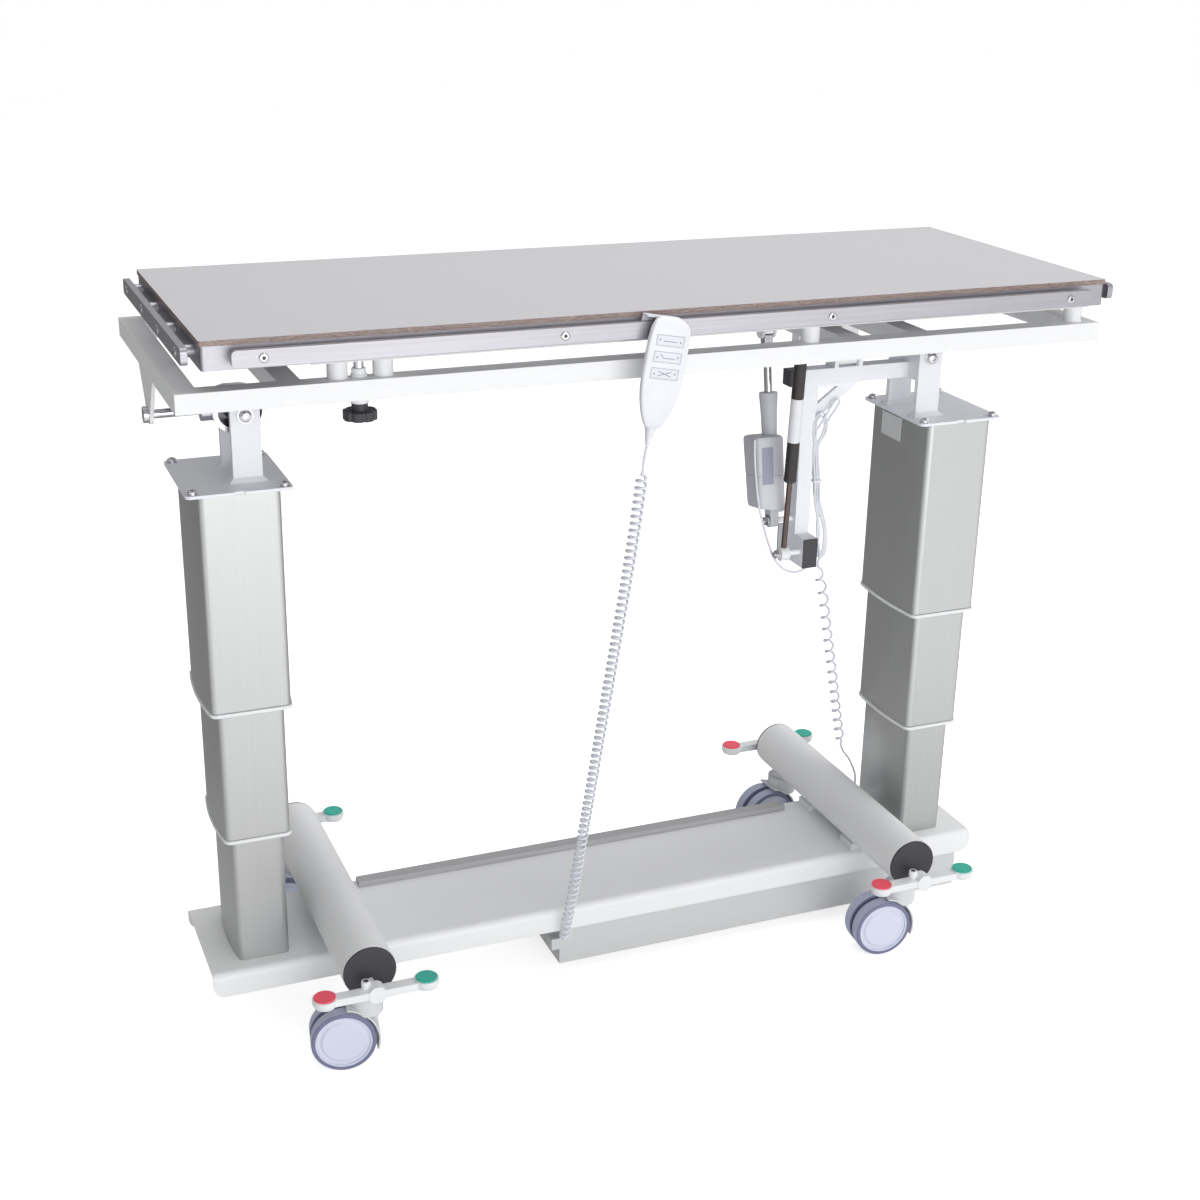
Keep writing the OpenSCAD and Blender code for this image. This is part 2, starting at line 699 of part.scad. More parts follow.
// Base: folded sheet with skirts on both long sides, saddles and cord glands
gland_w = 24;
gland_h = 22;
gland_drop = 10;
gland_in = 20;
gland_x = right_cx - gland_in;
saddle_w = 44;
module channel_outline() {
  difference() {
    union() {
      translate([-base_w / 2, skirt_z]) square([base_w, skirt_h - fold_r]);
      translate([-base_w / 2 + fold_r, deck_z - fold_r]) square([base_w - 2 * fold_r, fold_r]);
      for (side = [-1, 1]) translate([side * (base_w / 2 - fold_r), deck_z - fold_r]) circle(fold_r);
    }
    translate([-base_w / 2 + base_t, skirt_z - over]) square([base_w - 2 * base_t, skirt_h + over - fold_r]);
    translate([-base_w / 2 + fold_r, deck_z - fold_r - over])
      square([base_w - 2 * fold_r, fold_r + over - base_t]);
    for (side = [-1, 1]) translate([side * (base_w / 2 - fold_r), deck_z - fold_r]) circle(fold_r - base_t);
  }
}
module base_chassis() color("whitesmoke") {
  intersection() {
    translate([base_cx, 0]) rotate([90, 0, 90]) linear_extrude(base_l, center = true) channel_outline();
    translate([base_cx, 0, deck_z - skirt_h / 2 - skirt_corner_r]) rotate([90, 0])
      linear_extrude(base_w + 2 * over, center = true) translate([0, skirt_corner_r])
        union() {
          round_rect(base_l, skirt_h, skirt_corner_r);
          translate([-base_l / 2, 0]) square([base_l, skirt_h / 2 + over]);
        }
  }
  for (side = [-1, 1], edge = [-1, 1])
    translate([base_cx + side * tube_pitch / 2, edge * (base_w / 2 - fold_r - saddle_w / 2), deck_z - base_t / 2])
      intersection() {
        translate([-tube_d / 2, -saddle_w / 2, 0]) cube([tube_d, saddle_w, tube_d / 2]);
        difference() {
          translate([-tube_d / 3, -saddle_w / 2, 0]) cube([tube_d * 2 / 3, saddle_w, saddle_h * 2]);
          translate([0, 0, tube_z - deck_z + base_t / 2]) rotate([90, 0])
            cylinder(d = tube_d + 2 * slip, h = saddle_w + 2 * over, center = true);
        }
      }
  translate([gland_x - gland_w / 2, base_w / 2 - base_t / 2, deck_z - gland_drop - gland_h])
    cube([gland_w, gland_w + base_t / 2, gland_h]);
}
duct_end = 30;
duct_h = 10;
duct_w = 24;
module cable_duct() color("silver") {
  duct_l = tube_pitch - tube_d - 2 * duct_end;
  translate([base_cx - duct_l / 2, base_w / 2 - fold_r - duct_w, deck_z + slip]) cube([duct_l, duct_w, duct_h]);
}
box_start = 119;
box_left = base_cx - box_start;
box_wall = 1.5;
box_lip = 12;
module control_box() color("silver") {
  box_w = base_w - 2 * base_t - 2 * slip;
  translate([box_left, -box_w / 2, deck_z - fold_r - slip - box_h]) {
    difference() {
      cube([box_l, box_w, box_h]);
      translate([box_wall, box_wall, box_wall])
        cube([box_l - 2 * box_wall, box_w - 2 * box_wall, box_h]);
    }
    translate([box_wall - over, box_wall - over, box_h - box_wall])
      cube([box_lip, box_w - 2 * box_wall + 2 * over, box_wall]);
  }
  translate([box_left - clip_l + over, -box_w / 2, deck_z - fold_r - slip - box_h + clip_z])
    cube([clip_l, clip_w, clip_h]);
}
clip_l = 16;
clip_w = 20;
clip_h = 22;
clip_z = 30;

// Cross tubes with their end caps and castor stems
stem_d = 28;
stem_y = tube_l / 2 - swivel_in;
brake_rod_d = 11;
hub_drop = 16;
hub_z = tube_z - hub_drop;
module at_castors() for (i = [0 : 3]) translate([castor_x(i), castor_y(i), 0]) children();
function castor_x(i) = base_cx + (i % 2 == 0 ? -1 : 1) * tube_pitch / 2;
function castor_y(i) = (i < 2 ? -1 : 1) * stem_y;
castor_yaw = [-10, -5, 4, 6];
module cross_tubes() color("whitesmoke") for (side = [-1, 1])
  translate([base_cx + side * tube_pitch / 2, 0, tube_z]) difference() {
    rotate([90, 0]) cylinder(d = tube_d, h = tube_l, center = true);
    rotate([90, 0]) cylinder(d = tube_d - 2 * tube_wall, h = tube_l + 2 * over, center = true);
    for (end = [-1, 1]) translate([0, end * stem_y, -tube_d / 2 - over])
      cylinder(d = stem_d + 2 * fit, h = tube_d / 2);
  }
end_cap_t = 4;
end_cap_plug = 12;
end_cap_in = 0.5;
module tube_end_caps() color("dimgray") for (side = [-1, 1], end = [0, 1])
  translate([base_cx + side * tube_pitch / 2, 0, tube_z]) mirror([0, end, 0])
    translate([0, -tube_l / 2, 0]) rotate([90, 0]) difference() {
      union() {
        cylinder(d = tube_d - 2 * end_cap_in, h = end_cap_t);
        translate([0, 0, -end_cap_plug]) cylinder(d = tube_d - 2 * tube_wall - 2 * fit, h = end_cap_plug + over);
      }
      translate([0, -hub_drop, -end_cap_plug - over])
        cylinder(d = brake_rod_d + 2 * slip, h = end_cap_plug + end_cap_t + 2 * over);
    }
stem_rise = 46;
stem_low = 12;
pivot_stub_d = 14;
module castor_stems() color("silver") at_castors() difference() {
  union() {
    translate([0, 0, castor_h - stem_low + slip]) cylinder(d = stem_d, h = stem_low + stem_rise);
    translate([0, 0, castor_h - 2 * stem_low]) cylinder(d = pivot_stub_d, h = 3 * stem_low);
  }
  translate([0, 0, hub_z]) rotate([90, 0])
    cylinder(d = brake_rod_d + 2 * fit, h = stem_d + 2 * over, center = true);
}

// Castor housing: round head on the stem, thread guard behind the wheels, web with the axle
head_d = 56;
head_h = 34;
head_flange = 6;
web_w = 7;
web_rise = 10;
guard_gap = 4;
guard_side = 4;
guard_t = 3;
guard_shift = 6;
guard_drop = 20;
guard_r = wheel_d / 2 + guard_gap;
guard_w = 2 * wheel_w + 2 * guard_side;
axle_d = 10;
axle_boss_d = 30;
stem_play = 0.1;
wheel_room = 1.5;
head_top = castor_h - stem_low;
module castor_frame(i) translate([castor_x(i), castor_y(i), 0]) rotate(castor_yaw[i]) children();
module castor_housing(i) color("lightgray") castor_frame(i) difference() {
  union() {
    translate([0, 0, head_top - head_h]) cylinder(d = head_d, h = head_h);
    translate([0, 0, head_top]) cylinder(d = stem_d + 2 * head_flange, h = stem_low - 2 * slip);
    // Guard shell around the rear of the wheels
    intersection() {
      translate([-trail, 0, wheel_d / 2]) rotate([90, 0]) difference() {
        cylinder(r = guard_r + guard_t, h = guard_w, center = true);
        cylinder(r = guard_r, h = guard_w + 2 * over, center = true);
      }
      translate([-trail + guard_shift, -guard_w / 2 - over, wheel_d / 2 - guard_drop])
        cube([2 * guard_r, guard_w + 2 * over, wheel_d]);
    }
    // Web between the wheels
    translate([-trail, 0, wheel_d / 2]) rotate([90, 0]) cylinder(d = axle_boss_d, h = web_w, center = true);
    translate([-trail, -web_w / 2, (wheel_d - axle_boss_d) / 2]) cube([trail + guard_r / 3, web_w, wheel_d / 2 + web_rise]);
  }
  translate([-trail, 0, wheel_d / 2]) rotate([90, 0])
    cylinder(d = axle_d + 2 * fit, h = guard_w + 2 * over, center = true);
  translate([0, 0, castor_h - 2 * stem_low - over]) cylinder(d = pivot_stub_d + 2 * fit, h = 3 * stem_low);
  translate([0, 0, head_top]) cylinder(d = stem_d + 2 * fit + 2 * stem_play, h = stem_low + over);
  // Room for the wheels under the head
  for (side = [-1, 1]) translate([-trail, side * (web_w / 2 + slip + wheel_w / 2 + over), wheel_d / 2])
    rotate([90, 0]) cylinder(d = wheel_d + 2 * wheel_room, h = wheel_w + 2 * over, center = true);
}
tyre_t = 7;
tyre_r = 3;
hub_in = 1;
hub_play = 0.01;
disc_depth = 4;
disc_rim = 3;
dome_in = 8;
dome_slope = 4;
dome_h = 3;
module wheel_pair(i) castor_frame(i) translate([-trail, 0, wheel_d / 2]) for (side = [0, 1])
  mirror([0, side, 0]) translate([0, -web_w / 2 - slip * 3, 0]) rotate([90, 0]) children();
hub_d = wheel_d - 2 * tyre_t;
module wheel_hubs(i) {
  color("lavender") wheel_pair(i) {
    difference() {
      cylinder(d = hub_d - 2 * hub_play, h = wheel_w - hub_in);
      translate([0, 0, wheel_w - disc_depth]) difference() {
        cylinder(d = hub_d - 2 * disc_rim, h = wheel_w);
        cylinder(r1 = hub_d / 2 - dome_in, r2 = hub_d / 2 - dome_in - dome_slope, h = dome_h);
      }
    }
  }
  color("silver") castor_frame(i) translate([-trail, 0, wheel_d / 2]) rotate([90, 0])
    cylinder(d = axle_d, h = 2 * wheel_w, center = true);
}
module tyres(i) color("slategray") wheel_pair(i) rotate_extrude() {
  translate([hub_d / 2, 0]) square([tyre_t - tyre_r, wheel_w]);
  translate([hub_d / 2, tyre_r]) square([tyre_t, wheel_w - 2 * tyre_r]);
  for (z = [tyre_r, wheel_w - tyre_r]) translate([wheel_d / 2 - tyre_r, z]) circle(tyre_r);
}
module castor_housing_1() castor_housing(0);
module castor_housing_2() castor_housing(1);
module castor_housing_3() castor_housing(2);
module castor_housing_4() castor_housing(3);
module wheel_hubs_1() wheel_hubs(0);
module wheel_hubs_2() wheel_hubs(1);
module wheel_hubs_3() wheel_hubs(2);
module wheel_hubs_4() wheel_hubs(3);
module tyres_1() tyres(0);
module tyres_2() tyres(1);
module tyres_3() tyres(2);
module tyres_4() tyres(3);

// Brake pedals: one hexagon rod through each tube with a pedal bar on both ends
pedal_reach = 39.6;
pedal_y = tube_l / 2 + pedal_reach;
bar_w = 20;
bar_h = 13;
hub_ring_d = 30;
hub_ring_l = 22;
pad_cup_h = 13;
pad_rise = 2;
pad_t = 2.5;
pad_taper = 3;
pad_rim = 2.5;
module at_pedals(side) for (end = [-1, 1])
  translate([base_cx + side * tube_pitch / 2, end * pedal_y, hub_z]) children();
module brake_pedals(side) color("whitesmoke") {
  at_pedals(side) {
    translate([-pedal_l / 2, -bar_w / 2, -bar_h / 2]) cube([pedal_l, bar_w, bar_h]);
    rotate([90, 0]) cylinder(d = hub_ring_d, h = hub_ring_l, center = true);
    for (end = [-1, 1]) translate([end * pedal_l / 2, 0, -bar_h / 2]) {
      cylinder(d1 = pad_d - 2 * pad_taper, d2 = pad_d, h = pad_cup_h / 2);
      translate([0, 0, pad_cup_h / 2]) cylinder(d = pad_d, h = pad_cup_h / 2 + pad_rise);
    }
  }
  translate([base_cx + side * tube_pitch / 2, 0, hub_z]) rotate([90, 0])
    cylinder(d = brake_rod_d, h = 2 * pedal_y, center = true);
}
module pads(side, near) at_pedals(side)
  translate([near * pedal_l / 2, 0, -bar_h / 2 + pad_cup_h + pad_rise]) cylinder(d = pad_d - 2 * pad_rim, h = pad_t);
module left_brake_pedals() brake_pedals(-1);
module left_stop_pads() color("tomato") pads(-1, -1);
module left_release_pads() color("seagreen") pads(-1, 1);
module right_brake_pedals() brake_pedals(1);
module right_stop_pads() color("tomato") pads(1, -1);
module right_release_pads() color("seagreen") pads(1, 1);

// Hand control that hangs on the front rail by its hook
hand_side = 28;
hand_drop = 3;
hand_x = base_cx - hand_side;
hand_top = table_h - hand_drop;
hand_tilt = 10;
hand_end_share = 0.66;
hook_w = 30;
hook_t = 4;
hook_drop = 14;
hook_lift = slip + hook_w / 2 * tan(hand_tilt);
relief_l = 32;
relief_d1 = 18;
relief_d2 = 9;
hand_y = -top_w / 2 - rail_gap - rail_t - screw_head_h - slip * 2 - hand_t / 2;
key_w = 44;
key_h = 15;
key_t = 1.6;
key_pitch = 25;
key_first = 34;
module on_hand() translate([hand_x, hand_y, hand_top]) rotate([0, hand_tilt, 0]) children();
hand_r = 22;
hand_low_r = 12;
hand_edge = 5;
hand_low_edge = 4;
module hand_shell() {
  w2 = hand_w * hand_end_share;
  hull() {
    for (sx = [-1, 1], cut = [0, hand_edge]) translate([sx * (hand_w / 2 - hand_r), 0, -hand_r])
      rotate([90, 0]) cylinder(r = hand_r - cut, h = hand_t - 2 * (hand_edge - cut), center = true, $fn = 32);
    for (sx = [-1, 1], cut = [0, hand_low_edge]) translate([sx * (w2 / 2 - hand_low_r), 0, -hand_l + hand_low_r])
      rotate([90, 0])
        cylinder(r = hand_low_r - cut, h = hand_t - 2 * (hand_low_edge - cut), center = true, $fn = 32);
  }
}
module hand_control() color("white") on_hand() {
  difference() {
    hand_shell();
    for (i = [0 : 2]) translate([-key_w / 2, -hand_t / 2 - over, -key_first - i * key_pitch - key_h / 2])
      cube([key_w, over + key_t, key_h]);
  }
  translate([0, 0, -hand_l + over]) rotate([180, 0]) cylinder(d1 = relief_d1, d2 = relief_d2, h = relief_l);
  // Hook over the rail
  hook_z = rail_top - hand_top + hook_lift;
  translate([-hook_w / 2, hand_t / 2 - over, hook_z]) cube([hook_w, rail_t + screw_head_h + 3 * over + hook_t, hook_t]);
  translate([-hook_w / 2, hand_t / 2 + rail_t + screw_head_h + slip * 4, hook_z - hook_drop])
    cube([hook_w, hook_t, hook_drop + over]);
}
module key(i) color("gainsboro") on_hand()
  translate([-key_w / 2 + slip, -hand_t / 2, -key_first - i * key_pitch - key_h / 2 + slip])
    cube([key_w - 2 * slip, key_t - slip * 2, key_h - 2 * slip]);
module height_key() key(0);
module length_tilt_key() key(1);
module side_tilt_key() key(2);

// Cords. Each tube is swept along points chosen by hand
cord_sides = 8;
function unit(v) = v / norm(v);
function tangent(p, i) = unit(p[min(i + 1, len(p) - 1)] - p[max(i - 1, 0)]);
function ring(p, i, r) = let (t = tangent(p, i), a = unit(cross(t, [0, 1, 0.1])), b = cross(t, a))
  [for (k = [0 : cord_sides - 1]) p[i] + r * (cos(k * 360 / cord_sides) * a + sin(k * 360 / cord_sides) * b)];
module cord_tube(p, d) {
  n = cord_sides;
  m = len(p);
  polyhedron(
    points = [for (i = [0 : m - 1]) each ring(p, i, d / 2)],
    faces = concat([[for (k = [n - 1 : -1 : 0]) k]], [[for (k = [0 : n - 1]) (m - 1) * n + k]],
      [for (i = [0 : m - 2], k = [0 : n - 1])
        [i * n + k, i * n + (k + 1) % n, (i + 1) * n + (k + 1) % n, (i + 1) * n + k]]));
}
curl_d = 20;
lead_d = 5;
hand_lead_route = [[-84.6, -313.6, 1040.6], [-86.3, -313.3, 1031], [-87.2, -310, 1015], [-87.3, -307, 998.5]];
hand_coil_route = [[-87.3, -307, 998], [-91, -290, 900], [-96, -271, 800], [-102, -252, 700], [-108, -233, 600],
  [-114, -214, 500], [-120, -195, 400], [-126, -176, 300], [-132, -157, 200], [-137, -142, 130], [-140, -132, 84]];
motor_lead_route = [[261, 0, 905], [257, -1, 902], [253, -3, 890], [251, -6, 850], [252, -9, 800], [258, -12, 750],
  [272, -15, 708], [300, -18, 688], [335, -20, 680], [362, -18, 683], [375, -14, 691], [379, -13, 701.5]];
lift_coil_route = [[398, -12, 700.3], [399, -11, 688], [409, -2, 660], [430, 15, 607], [461, 43, 513],
  [493, 70, 418], [524, 98, 324], [552, 121, 240], [570, 128, 208], [586, 131, 182], [597, 131, 155],
  [598, 131, 128.3]];
module hand_lead() color("white") cord_tube(hand_lead_route, lead_d);
module hand_coil() color("white") cord_tube(hand_coil_route, curl_d);
module motor_lead() color("white") cord_tube(motor_lead_route, lead_d);
module lift_coil() color("white") cord_tube(lift_coil_route, curl_d);
hank_low = 702;
hank_w = 36;
hank_l = 285;
hank_t = 14;
hank_side_gap = 2;
hank_front_gap = 1;
module cable_hank() color("white")
  translate([arm_x + arm_w / 2 + hank_w / 2 + hank_side_gap, -gusset_t / 2 - hank_t / 2 - hank_front_gap,
    hank_low + hank_l / 2]) rotate([90, 0]) linear_extrude(hank_t, center = true) rotate(90) stadium(hank_w, hank_l - hank_w);

base_chassis();
cross_tubes();
tube_end_caps();
castor_stems();
control_box();
cable_duct();
left_stage_3();
right_stage_3();
left_stage_2();
left_rim_2();
right_stage_2();
right_rim_2();
left_stage_1();
left_rim_1();
left_head();
right_stage_1();
right_rim_1();
right_head();
left_pivot_bolt();
right_pivot_bolt();
left_slot_link();
slide_block();
right_tilt_arm();
arm_end_caps();
actuator_housing();
actuator_rod();
gas_spring_rod();
gas_spring_cylinder();
under_frame();
clamp_knob();
top_board();
top_tray();
accessory_rails();
castor_housing_1();
castor_housing_2();
castor_housing_3();
castor_housing_4();
wheel_hubs_1();
wheel_hubs_2();
wheel_hubs_3();
wheel_hubs_4();
tyres_1();
tyres_2();
tyres_3();
tyres_4();
left_brake_pedals();
left_stop_pads();
left_release_pads();
right_brake_pedals();
right_stop_pads();
right_release_pads();
hand_control();
height_key();
length_tilt_key();
side_tilt_key();
hand_lead();
hand_coil();
motor_lead();
cable_hank();
lift_coil();
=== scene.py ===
"""Looks of the operating table: materials, cords, small detail, light and camera around the frame."""
import json
import math

import bmesh
import bpy
from mathutils import Matrix, Vector


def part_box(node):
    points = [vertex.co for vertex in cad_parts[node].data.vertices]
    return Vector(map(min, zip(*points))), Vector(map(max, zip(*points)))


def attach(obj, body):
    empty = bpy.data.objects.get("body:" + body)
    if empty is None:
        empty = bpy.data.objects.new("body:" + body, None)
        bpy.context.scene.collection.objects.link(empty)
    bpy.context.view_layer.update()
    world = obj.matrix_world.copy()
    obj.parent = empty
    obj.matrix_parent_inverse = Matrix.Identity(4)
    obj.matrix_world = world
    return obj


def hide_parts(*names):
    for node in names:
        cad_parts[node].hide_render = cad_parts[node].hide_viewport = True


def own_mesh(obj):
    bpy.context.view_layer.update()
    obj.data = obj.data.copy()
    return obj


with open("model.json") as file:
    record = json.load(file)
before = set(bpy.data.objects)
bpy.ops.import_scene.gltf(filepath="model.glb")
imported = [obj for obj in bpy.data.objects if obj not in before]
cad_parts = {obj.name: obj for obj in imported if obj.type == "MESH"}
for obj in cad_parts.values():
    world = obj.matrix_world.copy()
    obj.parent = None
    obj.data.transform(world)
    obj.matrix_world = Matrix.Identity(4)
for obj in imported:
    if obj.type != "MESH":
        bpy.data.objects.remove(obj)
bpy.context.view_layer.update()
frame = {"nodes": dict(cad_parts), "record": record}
NODES = frame["nodes"]
MM = 0.001


# Small helpers for node trees

def shader(name):
    """A new material and its emptied tree, with the shader and the output in place."""
    mat = bpy.data.materials.new(name)
    mat.use_nodes = True
    tree = mat.node_tree
    tree.nodes.clear()
    out = tree.nodes.new("ShaderNodeOutputMaterial")
    bsdf = tree.nodes.new("ShaderNodeBsdfPrincipled")
    tree.links.new(bsdf.outputs["BSDF"], out.inputs["Surface"])
    return mat, tree, bsdf


def feed(tree, socket, value):
    """Wires another node's output into a socket, or sets a plain value on it."""
    if isinstance(value, bpy.types.NodeSocket):
        tree.links.new(value, socket)
    else:
        socket.default_value = value


def add(tree, kind, **sockets):
    node = tree.nodes.new(kind)
    for key, value in sockets.items():
        feed(tree, node.inputs[key.replace("_", " ")], value)
    return node


def calc(tree, operation, *values):
    """The result of a math node over numbers and outputs of other nodes."""
    node = tree.nodes.new("ShaderNodeMath")
    node.operation = operation
    for socket, value in zip(node.inputs, values):
        feed(tree, socket, value)
    return node.outputs[0]


def component(tree, vector, axis):
    return add(tree, "ShaderNodeSeparateXYZ", Vector=vector).outputs[axis]


def remap(tree, value, from_low, from_high, low=0, high=1):
    """Maps a value from one range to another and holds it inside."""
    node = add(tree, "ShaderNodeMapRange", Value=value, From_Min=from_low, From_Max=from_high,
               To_Min=low, To_Max=high)
    return node.outputs["Result"]


def stretched_noise(tree, stretch, scale, detail):
    """Noise in the object's own coordinates, drawn out along the axes where stretch is small."""
    where = tree.nodes.new("ShaderNodeTexCoord").outputs["Object"]
    mapping = add(tree, "ShaderNodeMapping", Vector=where, Scale=stretch)
    noise = add(tree, "ShaderNodeTexNoise", Vector=mapping.outputs["Vector"], Scale=scale, Detail=detail)
    return noise.outputs["Fac"]


NOISE_LOW = 0.3
NOISE_HIGH = 0.7


def between(tree, noise, low, high):
    """Maps the range where most of a noise lies to low..high."""
    return remap(tree, noise, NOISE_LOW, NOISE_HIGH, low, high)


def tinted(tree, value, dark, light):
    """Mixes two colours by a value. A colour is a tuple or another node's output."""
    mix = tree.nodes.new("ShaderNodeMix")
    mix.data_type = "RGBA"
    feed(tree, mix.inputs["Factor"], value)
    for end, tone in (("A", dark), ("B", light)):
        feed(tree, mix.inputs[end], (*tone, 1) if isinstance(tone, tuple) else tone)
    return mix.outputs["Result"]


def relief(tree, bsdf, height, strength, distance, edge):
    """Bump from a height, over edges rounded by the edge radius."""
    bevel = add(tree, "ShaderNodeBevel", Radius=edge)
    bevel.samples = 4
    bump = add(tree, "ShaderNodeBump", Strength=strength, Distance=distance, Height=height,
               Normal=bevel.outputs["Normal"])
    tree.links.new(bump.outputs["Normal"], bsdf.inputs["Normal"])


def dress(tree, bsdf, tone, rough):
    tree.links.new(tone, bsdf.inputs["Base Color"])
    tree.links.new(rough, bsdf.inputs["Roughness"])


def shade(color, factor):
    return tuple(min(1.0, c * factor) for c in color)


def linear(r, g, b):
    """Screen colour in 0..255 to the scene's linear colour."""
    out = []
    for v in (r, g, b):
        v = v / 255
        out.append(v / 12.92 if v <= 0.04045 else ((v + 0.055) / 1.055) ** 2.4)
    return tuple(out)


# Materials. A stretch is small along the axis that the grain follows

EVEN = (1, 1, 1)
ALONG_X = (0.012, 1, 1)
ALONG_Z = (1, 1, 0.012)


def powder_coat(name, color, rough=0.42, spread=0.05, fade=0.975):
    """Powder coated metal: fine orange peel, faint cloudiness."""
    mat, tree, bsdf = shader(name)
    peel = stretched_noise(tree, EVEN, scale=650, detail=2)
    cloud = stretched_noise(tree, EVEN, scale=6, detail=3)
    tone = tinted(tree, between(tree, cloud, 0, 1), shade(color, fade), color)
    dress(tree, bsdf, tone, between(tree, peel, rough - spread, rough + spread))
    relief(tree, bsdf, peel, strength=0.12, distance=0.3 * MM, edge=1.2 * MM)
    return mat


def brushed_metal(name, color, stretch, rough, metallic=1.0, edge=1 * MM, depth=0.16, spread=0.08):
    """Brushed metal: hairlines along the axis whose stretch is small, soft stains across them."""
    mat, tree, bsdf = shader(name)
    lines = stretched_noise(tree, stretch, scale=420, detail=4)
    cloud = stretched_noise(tree, tuple(max(0.25, s) for s in stretch), scale=9, detail=3)
    tone = tinted(tree, between(tree, lines, 0, 1), shade(color, 1 - spread), shade(color, 1 + spread))
    dress(tree, bsdf, tone, between(tree, cloud, rough - 0.04, rough + 0.04))
    bsdf.inputs["Metallic"].default_value = metallic
    relief(tree, bsdf, lines, strength=depth, distance=0.2 * MM, edge=edge)
    return mat


def moulded(name, color, rough, grain=900, depth=0.1, fade=0.96):
    """Moulded plastic, rubber or smooth paint with a fine spark-eroded grain."""
    mat, tree, bsdf = shader(name)
    fine = stretched_noise(tree, EVEN, scale=grain, detail=2)
    cloud = stretched_noise(tree, EVEN, scale=18, detail=2)
    tone = tinted(tree, between(tree, cloud, 0, 1), shade(color, fade), color)
    dress(tree, bsdf, tone, between(tree, fine, rough - 0.05, rough + 0.06))
    relief(tree, bsdf, fine, strength=depth, distance=0.3 * MM, edge=1.2 * MM)
    return mat


def laminate(name, face, core_dark, core_light):
    """Compact laminate board: pale matt faces, layered brown edge."""
    mat, tree, bsdf = shader(name)
    speck = stretched_noise(tree, EVEN, scale=1400, detail=2)
    cloud = stretched_noise(tree, (0.5, 1, 1), scale=3, detail=3)
    layers = stretched_noise(tree, (0.9, 0.9, 9), scale=160, detail=4)
    face_tone = tinted(tree, between(tree, speck, 0, 1), shade(face, 0.985), shade(face, 1.01))
    edge_tone = tinted(tree, between(tree, layers, 0, 1), core_dark, core_light)
    normal = tree.nodes.new("ShaderNodeNewGeometry").outputs["True Normal"]
    upright = calc(tree, "ABSOLUTE", component(tree, normal, "Z"))
    is_face = calc(tree, "GREATER_THAN", upright, 0.8)
    dress(tree, bsdf, tinted(tree, is_face, edge_tone, face_tone), between(tree, cloud, 0.36, 0.46))
    relief(tree, bsdf, speck, strength=0.05, distance=0.2 * MM, edge=0.5 * MM)
    return mat


def tyre_rubber(name, tread, wall):
    """Two-tone rubber of a twin wheel: pale tread, darker walls towards the axle, which lies along Y."""
    mat, tree, bsdf = shader(name)
    fine = stretched_noise(tree, EVEN, scale=900, detail=2)
    normal = tree.nodes.new("ShaderNodeTexCoord").outputs["Normal"]
    sideways = calc(tree, "ABSOLUTE", component(tree, normal, "Y"))
    tone = tinted(tree, remap(tree, sideways, 0.25, 0.5), tread, wall)
    dress(tree, bsdf, tone, between(tree, fine, 0.4, 0.5))
    relief(tree, bsdf, fine, strength=0.08, distance=0.3 * MM, edge=1.2 * MM)
    return mat


PAINT = powder_coat("white powder coat", linear(240, 241, 242))
PAINT_COOL = powder_coat("cool white powder coat", linear(240, 242, 247))
COLUMN = brushed_metal("column steel", linear(188, 189, 189), ALONG_Z, rough=0.36, metallic=0.85,
                       depth=0.03, spread=0.02)
STEEL_X = brushed_metal("brushed steel along", linear(168, 166, 172), ALONG_X, rough=0.44, depth=0.1,
                        spread=0.06)
BRIGHT = brushed_metal("bright zinc", linear(205, 205, 208), EVEN, rough=0.18, edge=0.5 * MM, depth=0.06)
DARK_STEEL = brushed_metal("dark rod steel", linear(98, 88, 84), (1, 1, 0.02), rough=0.25, edge=0.5 * MM,
                           depth=0.05)
SHEET = brushed_metal("grey sheet", linear(212, 213, 214), ALONG_X, rough=0.4, metallic=0.35,
                      depth=0.05, spread=0.02)
DUCT = brushed_metal("cable strip", linear(178, 178, 181), ALONG_X, rough=0.4, metallic=0.4)
BOARD = laminate("compact laminate", linear(201, 199, 203), linear(112, 92, 88), linear(176, 158, 152))
WHITE_PLASTIC = moulded("white plastic", linear(236, 238, 240), rough=0.4)
DARK_PLASTIC = moulded("dark plastic", linear(58, 58, 62), rough=0.5)
GAS_BLACK = moulded("black cylinder paint", linear(42, 37, 35), rough=0.28, depth=0.01)
SLEEVE = moulded("bare white sleeve", linear(235, 236, 240), rough=0.45)
HOUSING = moulded("drive housing", linear(207, 208, 215), rough=0.42)
CASTOR = moulded("castor housing", linear(221, 222, 225), rough=0.42)
DISC = moulded("wheel disc", linear(220, 224, 241), rough=0.35)
TREAD = tyre_rubber("wheel tread", linear(186, 190, 214), linear(120, 122, 152))
RED = moulded("red pad", linear(250, 84, 106), rough=0.45)
GREEN = moulded("green pad", linear(46, 184, 162), rough=0.45)
HAND = moulded("hand control shell", linear(234, 235, 242), rough=0.36)
KEY = moulded("key pads", linear(228, 229, 236), rough=0.5)
MARK = moulded("printed marks", linear(128, 128, 158), rough=0.6)
# Painted shade: a dark colour for thin discs that stand in for the hollows of screw sockets and holes
PAINTED_HOLE_SHADE = moulded("painted shade of recesses", linear(70, 70, 74), rough=0.5)
PANEL = moulded("blank grey panel", linear(158, 160, 178), rough=0.5)
LABEL = moulded("blank label", linear(214, 215, 216), rough=0.45)
CORD = moulded("cord jacket", linear(226, 228, 236), rough=0.35, grain=500, depth=0.05)

